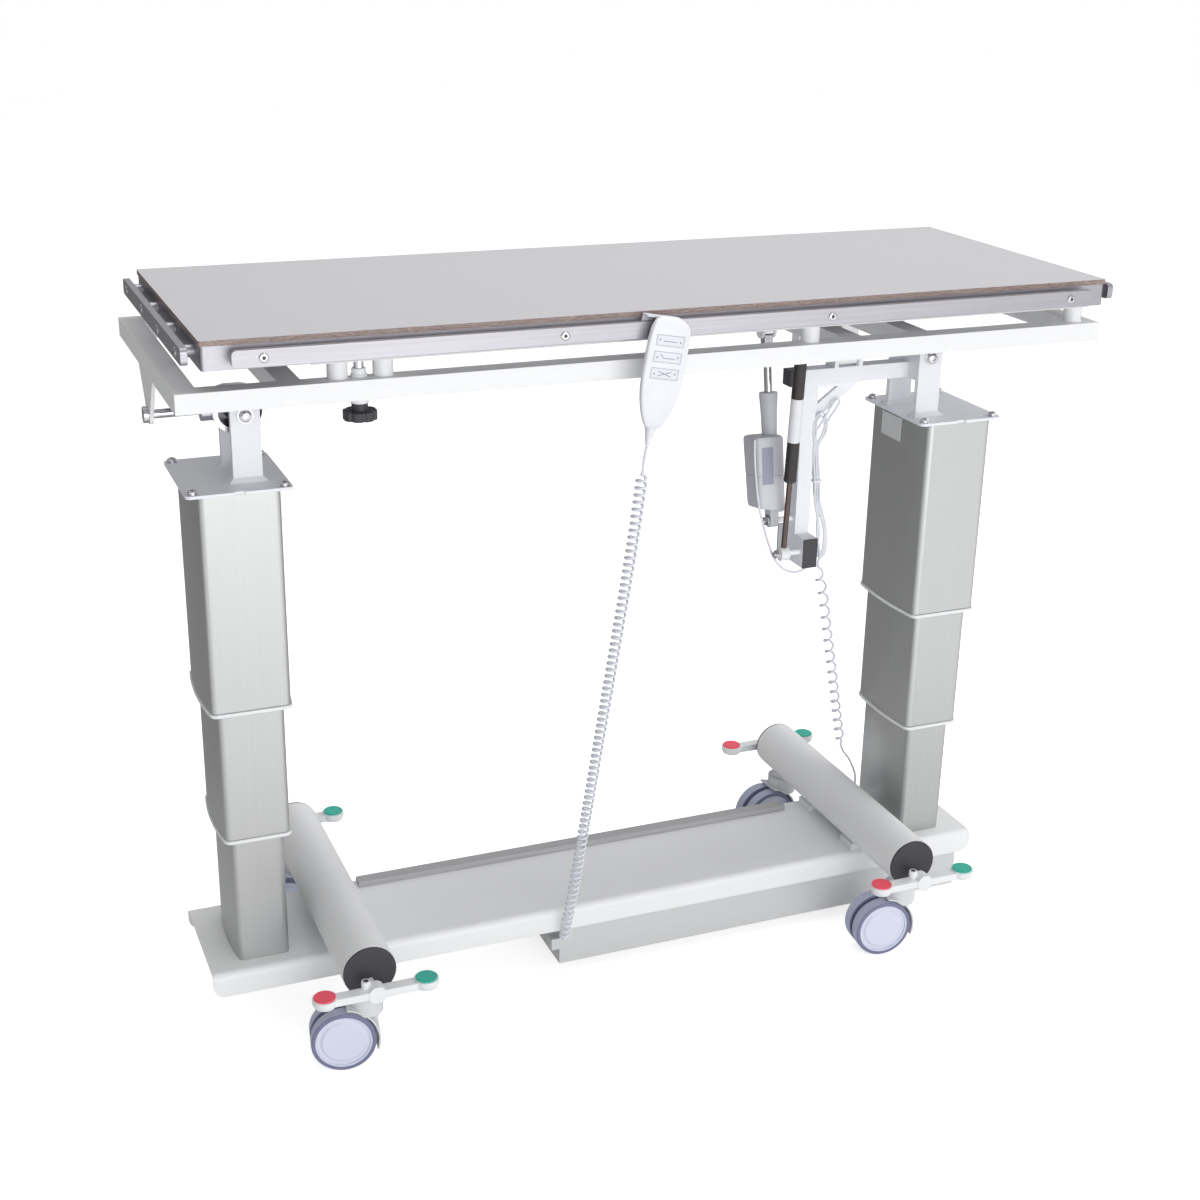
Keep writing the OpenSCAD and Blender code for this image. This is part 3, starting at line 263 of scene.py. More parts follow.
SLOT_LOOK = {
    "white_paint": PAINT, "column_grey": COLUMN, "brushed": STEEL_X, "laminate": BOARD,
    "white_plastic": WHITE_PLASTIC, "dark_plastic": DARK_PLASTIC, "bolt_steel": BRIGHT,
    "housing_grey": HOUSING, "gas_grey": GAS_BLACK, "castor_grey": CASTOR, "wheel_disc": DISC,
    "tread": TREAD, "red_pad": RED, "green_pad": GREEN, "hand_white": HAND, "key_grey": KEY,
    "cord_white": CORD, "cable_strip": DUCT,
}
NODE_LOOK = {
    "left_head": PAINT_COOL, "right_head": PAINT_COOL, "right_tilt_arm": PAINT_COOL,
    "gas_spring_rod": DARK_STEEL, "control_box": SHEET, "left_slot_link": BRIGHT,
}
for part in frame["record"]["subparts"]:
    look = NODE_LOOK.get(part["node"], SLOT_LOOK[part["material_slot"]])
    thing = NODES[part["node"]]
    if not thing.material_slots:
        thing.data.materials.append(look)
    for held in thing.material_slots:
        held.material = look


# Mesh helpers. A piece's vertices are in the row frame, and its object stays at the origin

def piece(name, verts, faces, look, body, slot_name, smooth=True):
    mesh = bpy.data.meshes.new(name)
    mesh.from_pydata([tuple(v) for v in verts], [], faces)
    mesh.materials.append(look)
    mesh.polygons.foreach_set("use_smooth", [smooth] * len(mesh.polygons))
    mesh.update()
    thing = bpy.data.objects.new(name, mesh)
    bpy.context.scene.collection.objects.link(thing)
    if body:
        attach(thing, body)
    return thing


def metres(points):
    return [Vector(p) * MM for p in points]


def box_mm(node):
    """Lowest and highest corners of a CAD node, in mm."""
    return [[round(v / MM, 2) for v in corner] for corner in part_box(node)]


def ring_faces(rows, count):
    """Faces of a closed mesh through rows of count points each, with a cap at both ends."""
    faces = []
    for i in range(rows - 1):
        for k in range(count):
            n = (k + 1) % count
            faces.append((i * count + k, i * count + n, (i + 1) * count + n, (i + 1) * count + k))
    faces.append(tuple(range(count - 1, -1, -1)))
    last = (rows - 1) * count
    faces.append(tuple(last + k for k in range(count)))
    return faces


def path_frames(points):
    """A direction and two steady side vectors at each point of a path."""
    count = len(points)
    side = None
    frames = []
    for i in range(count):
        ahead = (points[min(i + 1, count - 1)] - points[max(i - 1, 0)]).normalized()
        if side is None:
            side = ahead.orthogonal().normalized()
        side = (side - ahead * side.dot(ahead)).normalized()
        frames.append((ahead, side, ahead.cross(side)))
    return frames


def tube_mesh(points, radius, sides=10):
    """Vertices and faces of a closed tube along a path."""
    verts = []
    for (_, a, b), centre in zip(path_frames(points), points):
        for k in range(sides):
            turn = 2 * math.pi * k / sides
            verts.append(centre + radius * (math.cos(turn) * a + math.sin(turn) * b))
    return verts, ring_faces(len(points), sides)


def smooth_path(points, step=4 * MM):
    """Points every step along a smooth curve through the given points."""
    pts = [Vector(p) for p in points]
    fine = []
    for i in range(len(pts) - 1):
        p0 = pts[max(i - 1, 0)]
        p1 = pts[i]
        p2 = pts[i + 1]
        p3 = pts[min(i + 2, len(pts) - 1)]
        parts = max(2, int((p2 - p1).length / step))
        for k in range(parts):
            t = k / parts
            fine.append(0.5 * (2 * p1 + (p2 - p0) * t + (2 * p0 - 5 * p1 + 4 * p2 - p3) * t * t
                               + (3 * p1 - p0 - 3 * p2 + p3) * t * t * t))
    fine.append(pts[-1])
    return fine


COIL_R = 7.8 * MM


def coil_path(route, turns, per_turn, slack=1.0):
    """Turns of a coil around a route, wider apart at the start where slack is under 1.
    The first turn grows from the middle, and the last one shrinks back to it."""
    line = smooth_path(route)
    marks = [0.0]
    for i in range(len(line) - 1):
        marks.append(marks[-1] + (line[i + 1] - line[i]).length)
    frames = path_frames(line)
    count = turns * per_turn
    out = []
    k = 0
    for n in range(count + 1):
        at = marks[-1] * (n / count) ** slack
        while k < len(marks) - 2 and marks[k + 1] < at:
            k += 1
        share = (at - marks[k]) / (marks[k + 1] - marks[k])
        centre = line[k].lerp(line[k + 1], share)
        _, a, b = frames[k]
        turn = 2 * math.pi * n / per_turn
        grow = min(1, n / per_turn, (count - n) / per_turn)
        grow = grow * grow * (3 - 2 * grow)
        out.append(centre + COIL_R * grow * (math.cos(turn) * a + math.sin(turn) * b))
    return out


# Cords. The routes repeat those of the CAD source

HAND_CORD_D = 4.4 * MM
LEAD_D = 4.2 * MM
HAND_ROUTE = metres([(-84.6, -313.6, 1040.6), (-86.3, -313.3, 1031), (-87.2, -310, 1015),
                     (-87.3, -307, 998.5)])
COIL_ROUTE = metres([(-87.3, -307, 998), (-91, -290, 900), (-96, -271, 800), (-102, -252, 700),
                     (-108, -233, 600), (-114, -214, 500), (-120, -195, 400), (-126, -176, 300),
                     (-132, -157, 200), (-137, -142, 130), (-140, -132, 84)])
LIFT_ROUTE = metres([(398, -12, 700.3), (399, -11, 688), (409, -2, 660), (430, 15, 607), (461, 43, 513),
                     (493, 70, 418), (524, 98, 324), (552, 121, 240)])
LIFT_TAIL = metres([(552, 121, 240), (562, 126, 222), (576, 130, 205), (586, 131, 188),
                    (597, 131, 160), (598, 131, 128.3)])
MOTOR_ROUTE = metres([(260.6, -2, 936), (260.4, -3, 928), (261, -5, 900), (263.5, -12, 853),
                      (266.5, -16, 825), (273, -18, 795), (287, -20, 750), (302, -21, 715),
                      (322, -21, 693), (345, -20, 684), (366, -17, 686), (379, -13.5, 694)])


def cord(name, points, diameter, body, nodes, squash_from=None):
    verts, faces = tube_mesh(points, diameter / 2)
    thing = piece(name, verts, faces, CORD, body, "cord_white")
    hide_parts(*nodes)
    if squash_from is not None:
        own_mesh(thing)
    return thing


hand_points = smooth_path(HAND_ROUTE)[:-1] + coil_path(COIL_ROUTE, turns=76, per_turn=14)
cord("hand_cord", hand_points, HAND_CORD_D, "base", ["hand_lead", "hand_coil"], COIL_ROUTE[-1])

lift_points = coil_path(LIFT_ROUTE, turns=17, per_turn=18, slack=0.87) + smooth_path(LIFT_TAIL)[1:]
cord("lift_cord", lift_points, LEAD_D, "base", ["lift_coil"], LIFT_TAIL[-1])

# Hank of the drive's lead: the tie, the middles of both ends and the planes of its strands
TIE_X = 383
TIE_Z = 851
HEAD_X = 384
FOOT_X = 400
FRONT_Y = -9.8
BACK_Y = -14.2
LOOPS = 3


def hank_path():
    """Three long loops, tied together halfway, that fan out above and below the tie."""
    points = [(389, -12.2, 703)]
    for n in range(LOOPS):
        tied = TIE_X + 4.3 * (n - 1)
        foot = 7 + 2.8 * n
        head = 9 + 4.5 * n
        low = 713 - 4.4 * n
        points += [(FOOT_X, -12, low), (FOOT_X + foot * 0.9, -10.5, low + foot * 0.7),
                   (FOOT_X - 1 + foot * 0.8, FRONT_Y, 760), (tied + 6, FRONT_Y, 812),
                   (tied, FRONT_Y, TIE_Z), (tied - 5, FRONT_Y, 903)]
        if n < LOOPS - 1:
            points += [(HEAD_X + head, FRONT_Y, 940), (HEAD_X + head * 0.85, -10.8, 958 + head * 0.5),
                       (HEAD_X + 2, -12, 970 + 7 * n), (HEAD_X - head * 0.9, -13.2, 958 + head * 0.5),
                       (HEAD_X - head, BACK_Y, 940)]
        else:
            points += [(390, FRONT_Y, 934), (398, -9.6, 956), (413, -11, 980), (420, -12, 993),
                       (413, -13.6, 999), (401, -14.6, 985), (384, -15.5, 958), (375, BACK_Y, 938)]
        points += [(tied - 6, BACK_Y, 903), (tied, BACK_Y, TIE_Z), (tied + 3, BACK_Y, 812),
                   (FOOT_X - 1 - foot * 0.8, BACK_Y, 760)]
        if n < LOOPS - 1:
            points.append((FOOT_X - foot * 0.9, -13, low + foot * 0.6))
    return points + [(394, -17, 728), (397, -18, 712), (398, -16.5, 703)]


drive_points = smooth_path(MOTOR_ROUTE + metres(hank_path()))
cord("drive_lead", drive_points, LEAD_D, "tilt_arm", ["motor_lead", "cable_hank"])


# Turned pieces: rings of (radius, height, is hexagonal), from the foot upwards

def turned(rings, at, axis, sides=24):
    """Vertices and faces of a closed turned piece that stands at a point along an axis."""
    up = Vector(axis).normalized()
    side = up.orthogonal().normalized()
    other = up.cross(side)
    verts = []
    for radius, height, hexagonal in rings:
        for k in range(sides):
            turn = 2 * math.pi * k / sides
            reach = radius
            if hexagonal:
                reach *= math.cos(math.pi / 6) / math.cos(turn % (math.pi / 3) - math.pi / 6)
            outwards = math.cos(turn) * side + math.sin(turn) * other
            verts.append(Vector(at) + up * height + reach * outwards)
    return verts, ring_faces(len(rings), sides)


def joined(parts):
    """One mesh from several pairs of vertices and faces."""
    verts = []
    faces = []
    for some, loops in parts:
        faces += [tuple(v + len(verts) for v in loop) for loop in loops]
        verts += some
    return verts, faces


def scaled(rings):
    return [(radius * MM, height * MM, hexagonal) for radius, height, hexagonal in rings]


def sharpen(thing, limit=0.6):
    """Marks the edges sharper than the limit, in radians."""
    mesh = bmesh.new()
    mesh.from_mesh(thing.data)
    bmesh.ops.recalc_face_normals(mesh, faces=mesh.faces)
    for edge in mesh.edges:
        edge.smooth = len(edge.link_faces) == 2 and edge.calc_face_angle() < limit
    mesh.to_mesh(thing.data)
    mesh.free()


def turned_set(name, rings, places, look, body, slot_name, sides=24):
    """The same turned piece at several (point in mm, axis) places, as one object with sharp rims kept."""
    parts = [turned(scaled(rings), Vector(at) * MM, axis, sides) for at, axis in places]
    thing = piece(name, *joined(parts), look, body, slot_name, False)
    thing.data.polygons.foreach_set("use_smooth", [len(f.vertices) == 4 for f in thing.data.polygons])
    sharpen(thing)
    return thing


BOX_FACES = [(0, 1, 3, 2), (4, 6, 7, 5), (0, 4, 5, 1), (2, 3, 7, 6), (0, 2, 6, 4), (1, 5, 7, 3)]


def box_corners(low, high):
    x, y, z = zip(low, high)
    return [(x[i], y[j], z[k]) for i in (0, 1) for j in (0, 1) for k in (0, 1)]


def block(name, low, high, look, body, slot_name):
    """A plain box between two corners in mm."""
    return piece(name, metres(box_corners(low, high)), BOX_FACES, look, body, slot_name, False)


UP = (0, 0, 1)
SIDES = (-1, 1)
SOCKET_SIDES = 12

# Screws of the rails: domed heads with a hexagon socket, sunk into the rails' outer faces
SCREW_SINK = 2
SCREW_STEPS = (-1.5, -0.5, 0.5, 1.5)
LONG_PITCH = 444
SHORT_PITCH = 150
RAIL_SCREW = [(7.2, 0, 0), (7.2, 0.5, 0), (6.3, 1.5, 0), (5.2, 2.05, 0), (3.4, 2.05, 1), (3.2, 2.01, 1)]
# Each socket is a thin dark hexagon on the head: painted shade in place of the hollow
RAIL_SOCKET_SHADE = [(3.1, 1.9, 1), (3.1, 2.03, 1)]
rails_low, rails_high = box_mm("accessory_rails")
rails_x = (rails_low[0] + rails_high[0]) / 2
rails_z = (rails_low[2] + rails_high[2]) / 2
end_reach = (rails_high[0] - rails_low[0]) / 2 - SCREW_SINK
side_reach = rails_high[1] - SCREW_SINK
rail_places = []
for a in SIDES:
    rail_places += [((rails_x + i * LONG_PITCH, a * side_reach, rails_z), (0, a, 0)) for i in SCREW_STEPS]
for a in SIDES:
    rail_places += [((rails_x + a * end_reach, i * SHORT_PITCH, rails_z), (a, 0, 0)) for i in SCREW_STEPS]
turned_set("rail_screws", RAIL_SCREW, rail_places, BRIGHT, "table_top", "bolt_steel")
turned_set("rail_socket_shade", RAIL_SOCKET_SHADE, rail_places, PAINTED_HOLE_SHADE, "table_top", "dark_plastic", SOCKET_SIDES)

# Screws of the column plates, with washers
PLATE_T = 5
PLATE_EDGE = 12
PLATE_SCREW = [(9.5, 0.05, 0), (9.5, 1.4, 0), (7.3, 1.4, 0), (7.3, 4.6, 0), (6.2, 6.1, 0), (4.9, 6.6, 0),
               (3.6, 6.6, 1)]
# Each socket is a thin dark hexagon on the head: painted shade in place of the hollow
PLATE_SOCKET_SHADE = [(3.3, 6.4, 1), (3.3, 6.66, 1)]
for name in ("left", "right"):
    body = name + "_outer_stage"
    head_low, head_high = box_mm(name + "_head")
    middle = (head_low[0] + head_high[0]) / 2
    top = box_mm(name + "_stage_1")[1][2] + PLATE_T
    reach_x = head_high[0] - middle - PLATE_EDGE
    reach_y = head_high[1] - PLATE_EDGE
    places = [((middle + reach_x * a, reach_y * b, top), UP) for a in SIDES for b in SIDES]
    turned_set(name + "_plate_screws", PLATE_SCREW, places, BRIGHT, body, "bolt_steel")
    turned_set(name + "_plate_socket_shade", PLATE_SOCKET_SHADE, places, PAINTED_HOLE_SHADE, body, "dark_plastic", SOCKET_SIDES)

# Tilt bolts, each as two halves: shaft, washer, head and domed end with a socket
TILT_Z = 1070
TILT_X = {"left": -640, "right": 576}
TILT_BOLT = [(8, 0, 0), (8, 52.3, 0), (13, 52.3, 0), (13, 54.3, 0), (10, 54.3, 0), (10, 57.5, 0),
             (8.8, 60.6, 0), (6.4, 62.2, 0), (3.9, 62.6, 1), (3.9, 60.4, 1)]
for name, x in TILT_X.items():
    places = [((x, 0, TILT_Z), (0, a, 0)) for a in SIDES]
    thing = turned_set(name + "_tilt_bolt", TILT_BOLT, places, BRIGHT, name + "_outer_stage", "bolt_steel")
    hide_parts(name + "_pivot_bolt")

# Nuts on the lower pins of the side tilt drive and of the gas spring, and the spring's light lower eye
ACT_FOOT = Vector((304, 0, 781))
GAS_FOOT = Vector((311, -36, 729))
NUT_REACH = Vector((10.4, 0, 0))
EYE_W = 17
NUT = [(8.2, 0, 1), (8.2, 5.6, 1), (4.6, 5.6, 0), (4.6, 8.4, 0), (3.8, 9.2, 0)]
GAS_EYE = [(12.4, 0, 0), (12.8, 1, 0), (12.8, EYE_W - 1, 0), (12.4, EYE_W, 0)]
pin_places = [(foot - NUT_REACH, (-1, 0, 0)) for foot in (ACT_FOOT, GAS_FOOT)]
turned_set("pin_nuts", NUT, pin_places, BRIGHT, "tilt_arm", "bolt_steel")
turned_set("gas_eye", GAS_EYE, [(GAS_FOOT - Vector((EYE_W / 2, 0, 0)), (1, 0, 0))], WHITE_PLASTIC,
           "gas_rod", "white_plastic")

# Bare sleeve of the gas spring and the collar at its lower end, along the line to its upper pin
GAS_AXIS = Vector((0, -26, 385)).normalized()
GAS_SIDES = 32
GAS_SLEEVE = [(11.15, 212, 0), (11.15, 291, 0)]
GAS_COLLAR = [(6.2, 137.4, 0), (9.6, 137.4, 0), (11.3, 139.6, 0), (11.3, 143, 0)]
turned_set("gas_sleeve", GAS_SLEEVE, [(GAS_FOOT, GAS_AXIS)], SLEEVE, "gas_cylinder", "white_plastic",
           GAS_SIDES)
turned_set("gas_collar", GAS_COLLAR, [(GAS_FOOT, GAS_AXIS)], DARK_PLASTIC, "gas_cylinder",
           "dark_plastic", GAS_SIDES)

# Plug in the left end of the horizontal arm
block("arm_plug", (318, -14, 1028), (344.2, 14, 1056), DARK_PLASTIC, "tilt_arm", "dark_plastic")

# Washer above the clamp knob, nut and sleeve around its stem over the frame
WASHER_Z = 1127
NUT_Z = 1165.5
KNOB_WASHER = [(13.4, 0, 0), (13.4, 7, 0), (11.6, 8.2, 0)]
STEM_NUT = [(12, 0.2, 0), (12, 4, 0), (10.5, 4, 0), (10.5, 12, 0), (9.6, 13, 0)]
STEM_SLEEVE = [(7.2, 13, 0), (7.2, 25, 0)]
knob_low, knob_high = box_mm("clamp_knob")
stem = [(a + b) / 2 for a, b in zip(knob_low[:2], knob_high[:2])]
turned_set("knob_washer", KNOB_WASHER, [((*stem, WASHER_Z), UP)], WHITE_PLASTIC, "clamp_knob",
           "white_plastic")
turned_set("stem_nut", STEM_NUT, [((*stem, NUT_Z), UP)], WHITE_PLASTIC, "frame", "white_plastic")
turned_set("stem_sleeve", STEM_SLEEVE, [((*stem, NUT_Z), UP)], BRIGHT, "frame", "bolt_steel")

# Small ring beside the hub of each front pedal; its hole is a dark disc on top, painted shade in place of
# the hollow
LUG_PLACES = {"left_brake": (-544, -297, 172), "right_brake": (471, -297, 172)}
LUG = [(7.5, 0, 0), (7.5, 18, 0), (6.7, 19, 0), (4.6, 19, 0)]
LUG_HOLE_SHADE = [(4.5, 18.6, 0), (4.5, 19.06, 0)]
for body, at in LUG_PLACES.items():
    turned_set(body + "_lug", LUG, [(at, UP)], PAINT, body, "white_paint")
    turned_set(body + "_lug_hole_shade", LUG_HOLE_SHADE, [(at, UP)], PAINTED_HOLE_SHADE, body, "dark_plastic")

# Bare label plate on the left face of the right column
LABEL_OUT = 1.4
LABEL_IN = 0.35
face_x = box_mm("right_stage_1")[0][0]
block("column_label", (face_x - LABEL_OUT, -14, 909), (face_x + LABEL_IN, 50, 952), LABEL,
      "right_outer_stage", "white_plastic")


# Drive housing: tapered tube over a box with a slanted foot, seam and blank panel

ACT_TURN = Matrix.Rotation(math.atan2(58, 333) * -1, 4, "X")
CORNER_STEPS = 4


def on_drive(points):
    """Points in mm along the drive's own axis, from its lower pin, in the row frame."""
    return [(ACT_TURN @ Vector(p) + ACT_FOOT) * MM for p in points]


def rounded_ring(x0, x1, y0, y1, z, cut, slant=0.0):
    """Points of a rectangle with round corners. Its height falls by slant from x0 to x1."""
    ring = []
    for cx, cy, first in ((x1 - cut, y1 - cut, 0), (x0 + cut, y1 - cut, 90), (x0 + cut, y0 + cut, 180),
                          (x1 - cut, y0 + cut, 270)):
        for k in range(CORNER_STEPS + 1):
            turn = math.radians(first + 90 * k / CORNER_STEPS)
            x = cx + cut * math.cos(turn)
            ring.append((x, cy + cut * math.sin(turn), z - slant * (x - x0) / (x1 - x0)))
    return ring


def loft(rings):
    """Closed mesh through rings with the same count of points."""
    return [v for ring in rings for v in ring], ring_faces(len(rings), len(rings[0]))


def shell_piece(name, meshes, look, body, slot_name, limit=0.6):
    thing = piece(name, *joined(meshes), look, body, slot_name)
    sharpen(thing, limit)
    return thing


# Flat tie around the hank
TIE_HALF = 8
TIE_Y = (-18, -6)
TIE_PROFILE = ((-2.2, -1), (-2.2, 0), (2.2, 0), (2.2, -1))
tie_rings = [rounded_ring(TIE_X - TIE_HALF - out, TIE_X + TIE_HALF + out, TIE_Y[0] - out, TIE_Y[1] + out,
                          TIE_Z + z, 3) for z, out in TIE_PROFILE]
tie = loft([metres(ring) for ring in tie_rings])
shell_piece("hank_tie", [tie], WHITE_PLASTIC, "tilt_arm", "white_plastic")

# The housing's profile gives (height, reach past the plain walls, slant of the ring)
MOTOR_X = (-41, 15)
MOTOR_Y = 29
MOTOR_TOP = 155
MOTOR_CORNER = 8
MOTOR_LEAN = 5 / 130
MOTOR_PROFILE = ((26, -5, 9), (28, -1.5, 9), (34, 0, 9), (84, 0, 0), (84.6, -0.8, 0), (86.2, -0.8, 0),
                 (86.8, 0, 0), (148, 0, 0), (153, -1.5, 0), (MOTOR_TOP, -5, 0))
NECK_PROFILE = ((13.5, 150), (14.5, 190), (16.6, 226), (16.6, 229), (15.5, 230.4), (9, 230.4))
NECK_SIDES = 24
motor = []
for z, out, slant in MOTOR_PROFILE:
    left = MOTOR_X[0] - out + MOTOR_LEAN * (MOTOR_TOP - z)
    ring = rounded_ring(left, MOTOR_X[1] + out, -MOTOR_Y - out, MOTOR_Y + out, z, MOTOR_CORNER + out / 2,
                        slant)
    motor.append(on_drive(ring))
neck = []
for r, z in NECK_PROFILE:
    turns = [2 * math.pi * k / NECK_SIDES for k in range(NECK_SIDES)]
    neck.append(on_drive([(r * math.cos(t), r * math.sin(t), z) for t in turns]))
fork = [on_drive([(8, -12, z), (8, 12, z), (-8, 12, z), (-8, -12, z)]) for z in (0, 30)]
eye = turned(scaled([(12, -8, 0), (12, 8, 0)]), ACT_FOOT * MM, (1, 0, 0))
drive = shell_piece("drive_housing", [loft(motor), loft(neck), loft(fork), eye], HOUSING,
                    "actuator_body", "housing_grey")
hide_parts("actuator_housing")
panel_y = -MOTOR_Y - 0.3
front_panel = on_drive([(-31, panel_y, 136), (-9, panel_y, 136), (-9, panel_y, 70), (-31, panel_y, 70)])
piece("drive_panel", front_panel, [(0, 1, 2, 3)], PANEL, "actuator_body", "housing_grey", False)


# Hand control: shell lofted along its length, ribbed relief, hook and printed marks

HAND_AT = Vector((-50, -313.6, 1237))
HAND_TURN = Matrix.Rotation(math.radians(10), 4, "Y")
CORNER_REACH = 3.2


def on_hand(points):
    """Points in mm from the middle of the hand control's upper end, in the row frame."""
    return [(HAND_TURN @ Vector(p) + HAND_AT) * MM for p in points]


def hand_ring(z, half, front, back):
    """Section of the shell: wide front, sides that slope in to a narrower back, soft corners."""
    corners = [(half, front), (half + 0.6, front + 8), (half - 7, back), (-half + 7, back),
               (-half - 0.6, front + 8), (-half, front)]
    ring = []
    for i, (x, y) in enumerate(corners):
        for other in (corners[i - 1], corners[(i + 1) % len(corners)]):
            reach = math.hypot(other[0] - x, other[1] - y)
            step = min(CORNER_REACH, reach * 0.35) / reach
            ring.append((x + (other[0] - x) * step, y + (other[1] - y) * step, z))
        bend_x = (ring[-2][0] + ring[-1][0] + 2 * x) / 4
        bend_y = (ring[-2][1] + ring[-1][1] + 2 * y) / 4
        ring.insert(-1, (bend_x, bend_y, z))
    return on_hand(ring)


# Each section gives (height, half width, front, back)
HAND_SECTIONS = [(0, 13, -1, 9), (-1.5, 17.5, -2.6, 11), (-5, 23, -6, 11.8), (-9, 26.8, -9.2, 12),
                 (-14, 29.6, -11.6, 12), (-20, 31.4, -11.7, 12), (-35, 32.8, -11.7, 12),
                 (-60, 33.4, -11.7, 12), (-85, 33.3, -11.7, 12), (-110, 31.6, -11.7, 11.6),
                 (-128, 28.4, -11.6, 11), (-143, 24.2, -11.3, 10.4), (-154, 19.8, -10.9, 9.8),
                 (-162, 15.6, -10.4, 9.2), (-166.5, 12.2, -9.4, 8.6), (-168, 10.6, -8.6, 8)]
RIBS = 8
RIB_PITCH = 4.3
RIB_TOP = -164
shell = loft([hand_ring(*section) for section in HAND_SECTIONS])
cone = []
for k in range(RIBS):
    z = RIB_TOP - RIB_PITCH * k
    wide = 10 - 0.92 * k
    cone += [(wide, z, 0), (wide, z - 2.4, 0), (wide - 1.1, z - 2.9, 0), (wide - 1.1, z - 3.9, 0)]
hand_top = on_hand([(0, 0, 0)])[0]
hand_axis = on_hand([UP])[0] - hand_top
relief_cone = turned(scaled(cone), hand_top, hand_axis)


def hand_box(low, high):
    return on_hand(box_corners(low, high)), BOX_FACES


hook = [hand_box((-34, 10, -5.1), (15, 29.2, -3)), hand_box((-34, 26.6, -19.1), (15, 29.2, -4))]
hand = shell_piece("hand_shell", [shell, relief_cone] + hook, HAND, "table_top", "hand_white", 0.9)
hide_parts("hand_control")


def bar(x0, z0, x1, z1, width, y):
    """A thin flat bar between two points on the front of the hand control."""
    ahead = Vector((x1 - x0, z1 - z0)).normalized() * width / 2
    points = [(x0 - ahead.y, y, z0 + ahead.x), (x1 - ahead.y, y, z1 + ahead.x),
              (x1 + ahead.y, y, z1 - ahead.x), (x0 + ahead.y, y, z0 - ahead.x)]
    return on_hand(points), [(0, 1, 2, 3)]


def tip(x, z, way, y, size=3):
    """A small filled arrow head that points up or down, as way is 1 or -1."""
    half = size * 0.6 * way
    return on_hand([(x, y, z + way * size), (x - half, y, z), (x + half, y, z)]), [(0, 1, 2)]


# Generic marks on the three keys, each inside a thin rim
KEYS = ("height_button", "length_tilt_button", "side_tilt_button")
KEY_TOP = -34
KEY_PITCH = 25
MARK_Y = -12.12
MARK_W = 1
TIP_X = 17
RIM_Y = -11.95
RIM_W = 0.7
RIM_X = 22.6
RIM_Z = 8
KEY_BARS = (
    [(-11, -1, 11, -1)],
    [(-12, 4, -6, -1.5), (-6, -1.5, 12, -1.5)],
    [(-11, -3.5, 11, 3.5), (-11, 3.5, 11, -3.5)],
)
KEY_TIPS = (1, -1, -1)
for i, body in enumerate(KEYS):
    middle = KEY_TOP - KEY_PITCH * i
    marks = [tip(-TIP_X, middle, KEY_TIPS[i], MARK_Y), tip(TIP_X, middle, -KEY_TIPS[i], MARK_Y)]
    marks += [bar(x0, middle + z0, x1, middle + z1, MARK_W, MARK_Y) for x0, z0, x1, z1 in KEY_BARS[i]]
    piece("key_marks_%d" % (i + 1), *joined(marks), MARK, body, "key_grey", False)
    top = middle + RIM_Z
    foot = middle - RIM_Z
    rim = [bar(-RIM_X, top, RIM_X, top, RIM_W, RIM_Y), bar(-RIM_X, foot, RIM_X, foot, RIM_W, RIM_Y),
           bar(-RIM_X, foot, -RIM_X, top, RIM_W, RIM_Y), bar(RIM_X, foot, RIM_X, top, RIM_W, RIM_Y)]
    piece("key_rim_%d" % (i + 1), *joined(rim), PANEL, "table_top", "hand_white", False)


# Floor, light and camera

def stage_plane(name, size, look):
    verts = [(-size, -size, 0), (size, -size, 0), (size, size, 0), (-size, size, 0)]
    floor = piece(name, verts, [(0, 1, 2, 3)], look, None, None, False)
    return floor


def seen_directly(tree, rays):
    return calc(tree, "MAXIMUM", rays.outputs["Is Camera Ray"], rays.outputs["Is Transmission Ray"])


def floor_look(pale=(0.8, 0.8, 0.8), dark=(0.36, 0.36, 0.36), camera_glow=0.66, mirror_glow=0.5):
    """Pale floor that keeps the shadow and looks white. In reflections it glows where it lies in front
    of the object, and is darker behind it."""
    mat, tree, bsdf = shader("pale floor")
    bsdf.inputs["Roughness"].default_value = 0.9
    bsdf.inputs["Emission Color"].default_value = (1, 1, 1, 1)
    rays = tree.nodes.new("ShaderNodeLightPath")
    place = tree.nodes.new("ShaderNodeNewGeometry").outputs["Position"]
    glossy = rays.outputs["Is Glossy Ray"]
    behind = calc(tree, "MULTIPLY", glossy, remap(tree, component(tree, place, "Y"), -1.2, 0.9))
    ahead = calc(tree, "SUBTRACT", glossy, behind)
    mirrored = calc(tree, "MULTIPLY", ahead, mirror_glow)
    glow = calc(tree, "MULTIPLY_ADD", seen_directly(tree, rays), camera_glow, mirrored)
    tree.links.new(tinted(tree, behind, pale, dark), bsdf.inputs["Base Color"])
    tree.links.new(glow, bsdf.inputs["Emission Strength"])
    return mat


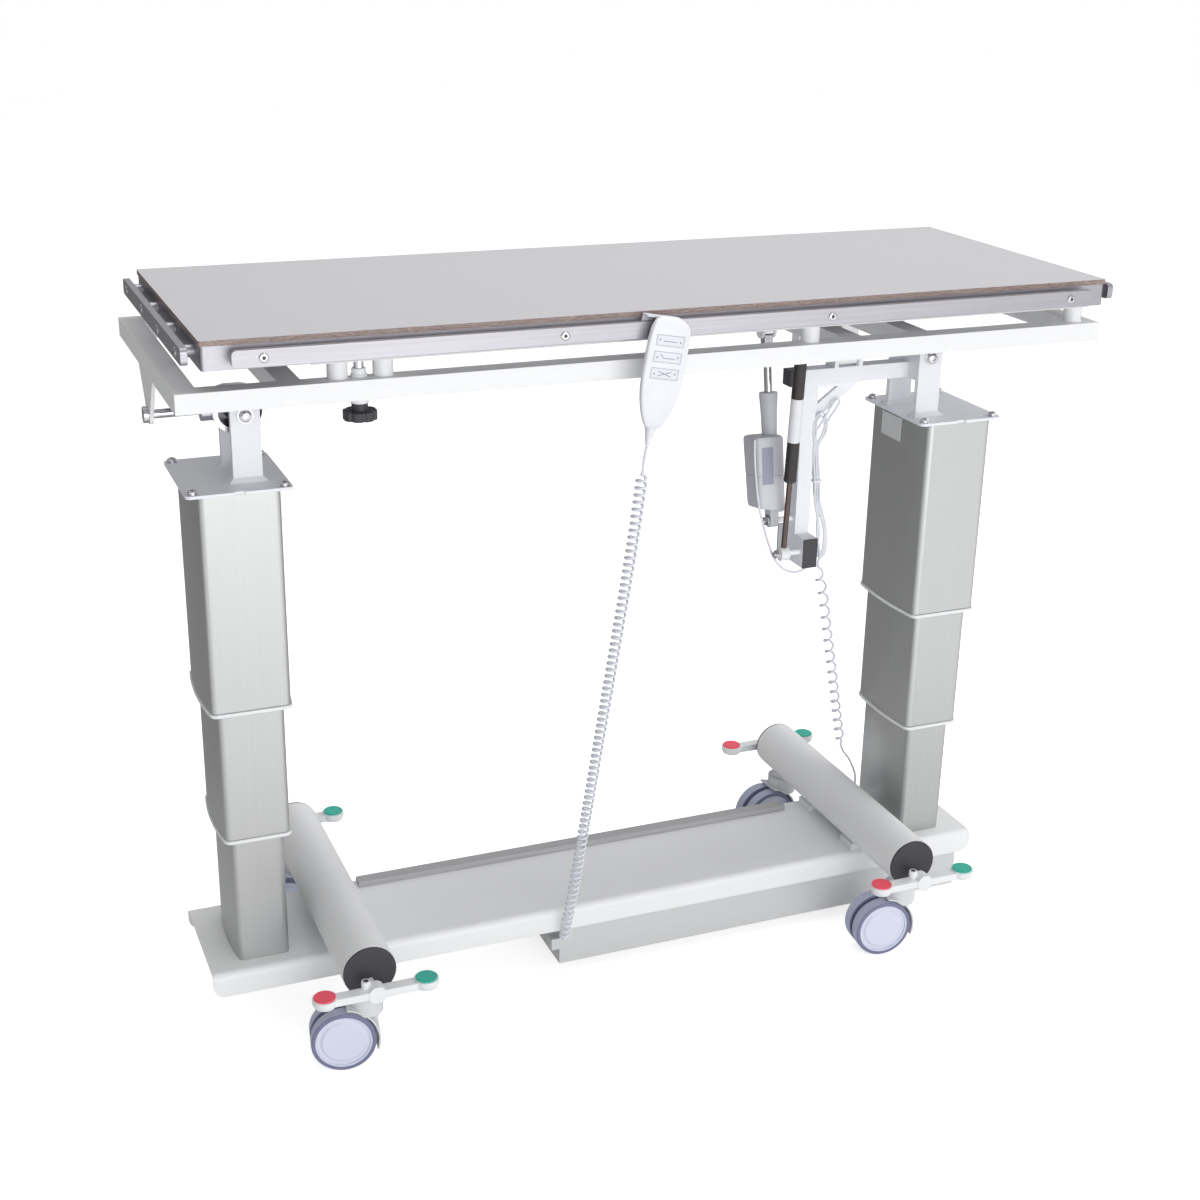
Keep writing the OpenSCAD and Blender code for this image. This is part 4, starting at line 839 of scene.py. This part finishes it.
def studio_world():
    """White to the camera, and for light and reflections a room that is darker beyond the left end."""
    world = bpy.data.worlds.new("studio")
    bpy.context.scene.world = world
    world.use_nodes = True
    tree = world.node_tree
    tree.nodes.clear()
    out = tree.nodes.new("ShaderNodeOutputWorld")
    way = tree.nodes.new("ShaderNodeTexCoord").outputs["Generated"]
    strength = remap(tree, component(tree, way, "X"), -0.95, 0.25, 0.36, 0.78)
    room = add(tree, "ShaderNodeBackground", Strength=strength)
    white = add(tree, "ShaderNodeBackground", Color=(1, 1, 1, 1))
    rays = tree.nodes.new("ShaderNodeLightPath")
    mix = add(tree, "ShaderNodeMixShader", Fac=seen_directly(tree, rays))
    tree.links.new(room.outputs["Background"], mix.inputs[1])
    tree.links.new(white.outputs["Background"], mix.inputs[2])
    tree.links.new(mix.outputs["Shader"], out.inputs["Surface"])


def softbox(name, place, target, size, power):
    light = bpy.data.lights.new(name, "AREA")
    light.shape = "RECTANGLE"
    light.size = size[0]
    light.size_y = size[1]
    light.energy = power
    thing = bpy.data.objects.new(name, light)
    bpy.context.scene.collection.objects.link(thing)
    thing.location = place
    thing.rotation_euler = (Vector(target) - Vector(place)).to_track_quat("-Z", "Y").to_euler()
    return thing


# The camera fitted to the photograph: place in metres, angles in degrees, lens and sensor in mm
CAMERA_AT = (-1.150, -2.715, 1.800)
CAMERA_YAW = 22.47
CAMERA_PITCH = -21.03
CAMERA_ROLL = 1.04
CAMERA_LENS = 53.91
CAMERA_SENSOR = 36


def camera():
    yaw, pitch, roll = (math.radians(v) for v in (CAMERA_YAW, CAMERA_PITCH, CAMERA_ROLL))
    ahead = Vector((math.sin(yaw) * math.cos(pitch), math.cos(yaw) * math.cos(pitch), math.sin(pitch)))
    level = Vector((math.cos(yaw), -math.sin(yaw), 0))
    upright = level.cross(ahead)
    right = math.cos(roll) * level + math.sin(roll) * upright
    up = math.cos(roll) * upright - math.sin(roll) * level
    data = bpy.data.cameras.new("camera")
    data.lens = CAMERA_LENS
    data.sensor_width = CAMERA_SENSOR
    data.clip_end = 60
    thing = bpy.data.objects.new("camera", data)
    bpy.context.scene.collection.objects.link(thing)
    turn = Matrix((right, up, -ahead)).transposed().to_4x4()
    thing.matrix_world = Matrix.Translation(CAMERA_AT) @ turn
    bpy.context.scene.camera = thing


stage_plane("floor", 14, floor_look())
studio_world()
softbox("front light", place=(0.2, -6.0, 1.5), target=(0, 0, 0.7), size=(5.4, 3.8), power=204)
softbox("top light", place=(0.3, 0.3, 4.2), target=(0, 0, 0.6), size=(3.2, 2.2), power=48)
softbox("right light", place=(4.0, 0.6, 2.2), target=(0, 0, 0.7), size=(2.0, 2.2), power=40)
camera()

scene = bpy.context.scene
scene.view_settings.view_transform = "Standard"
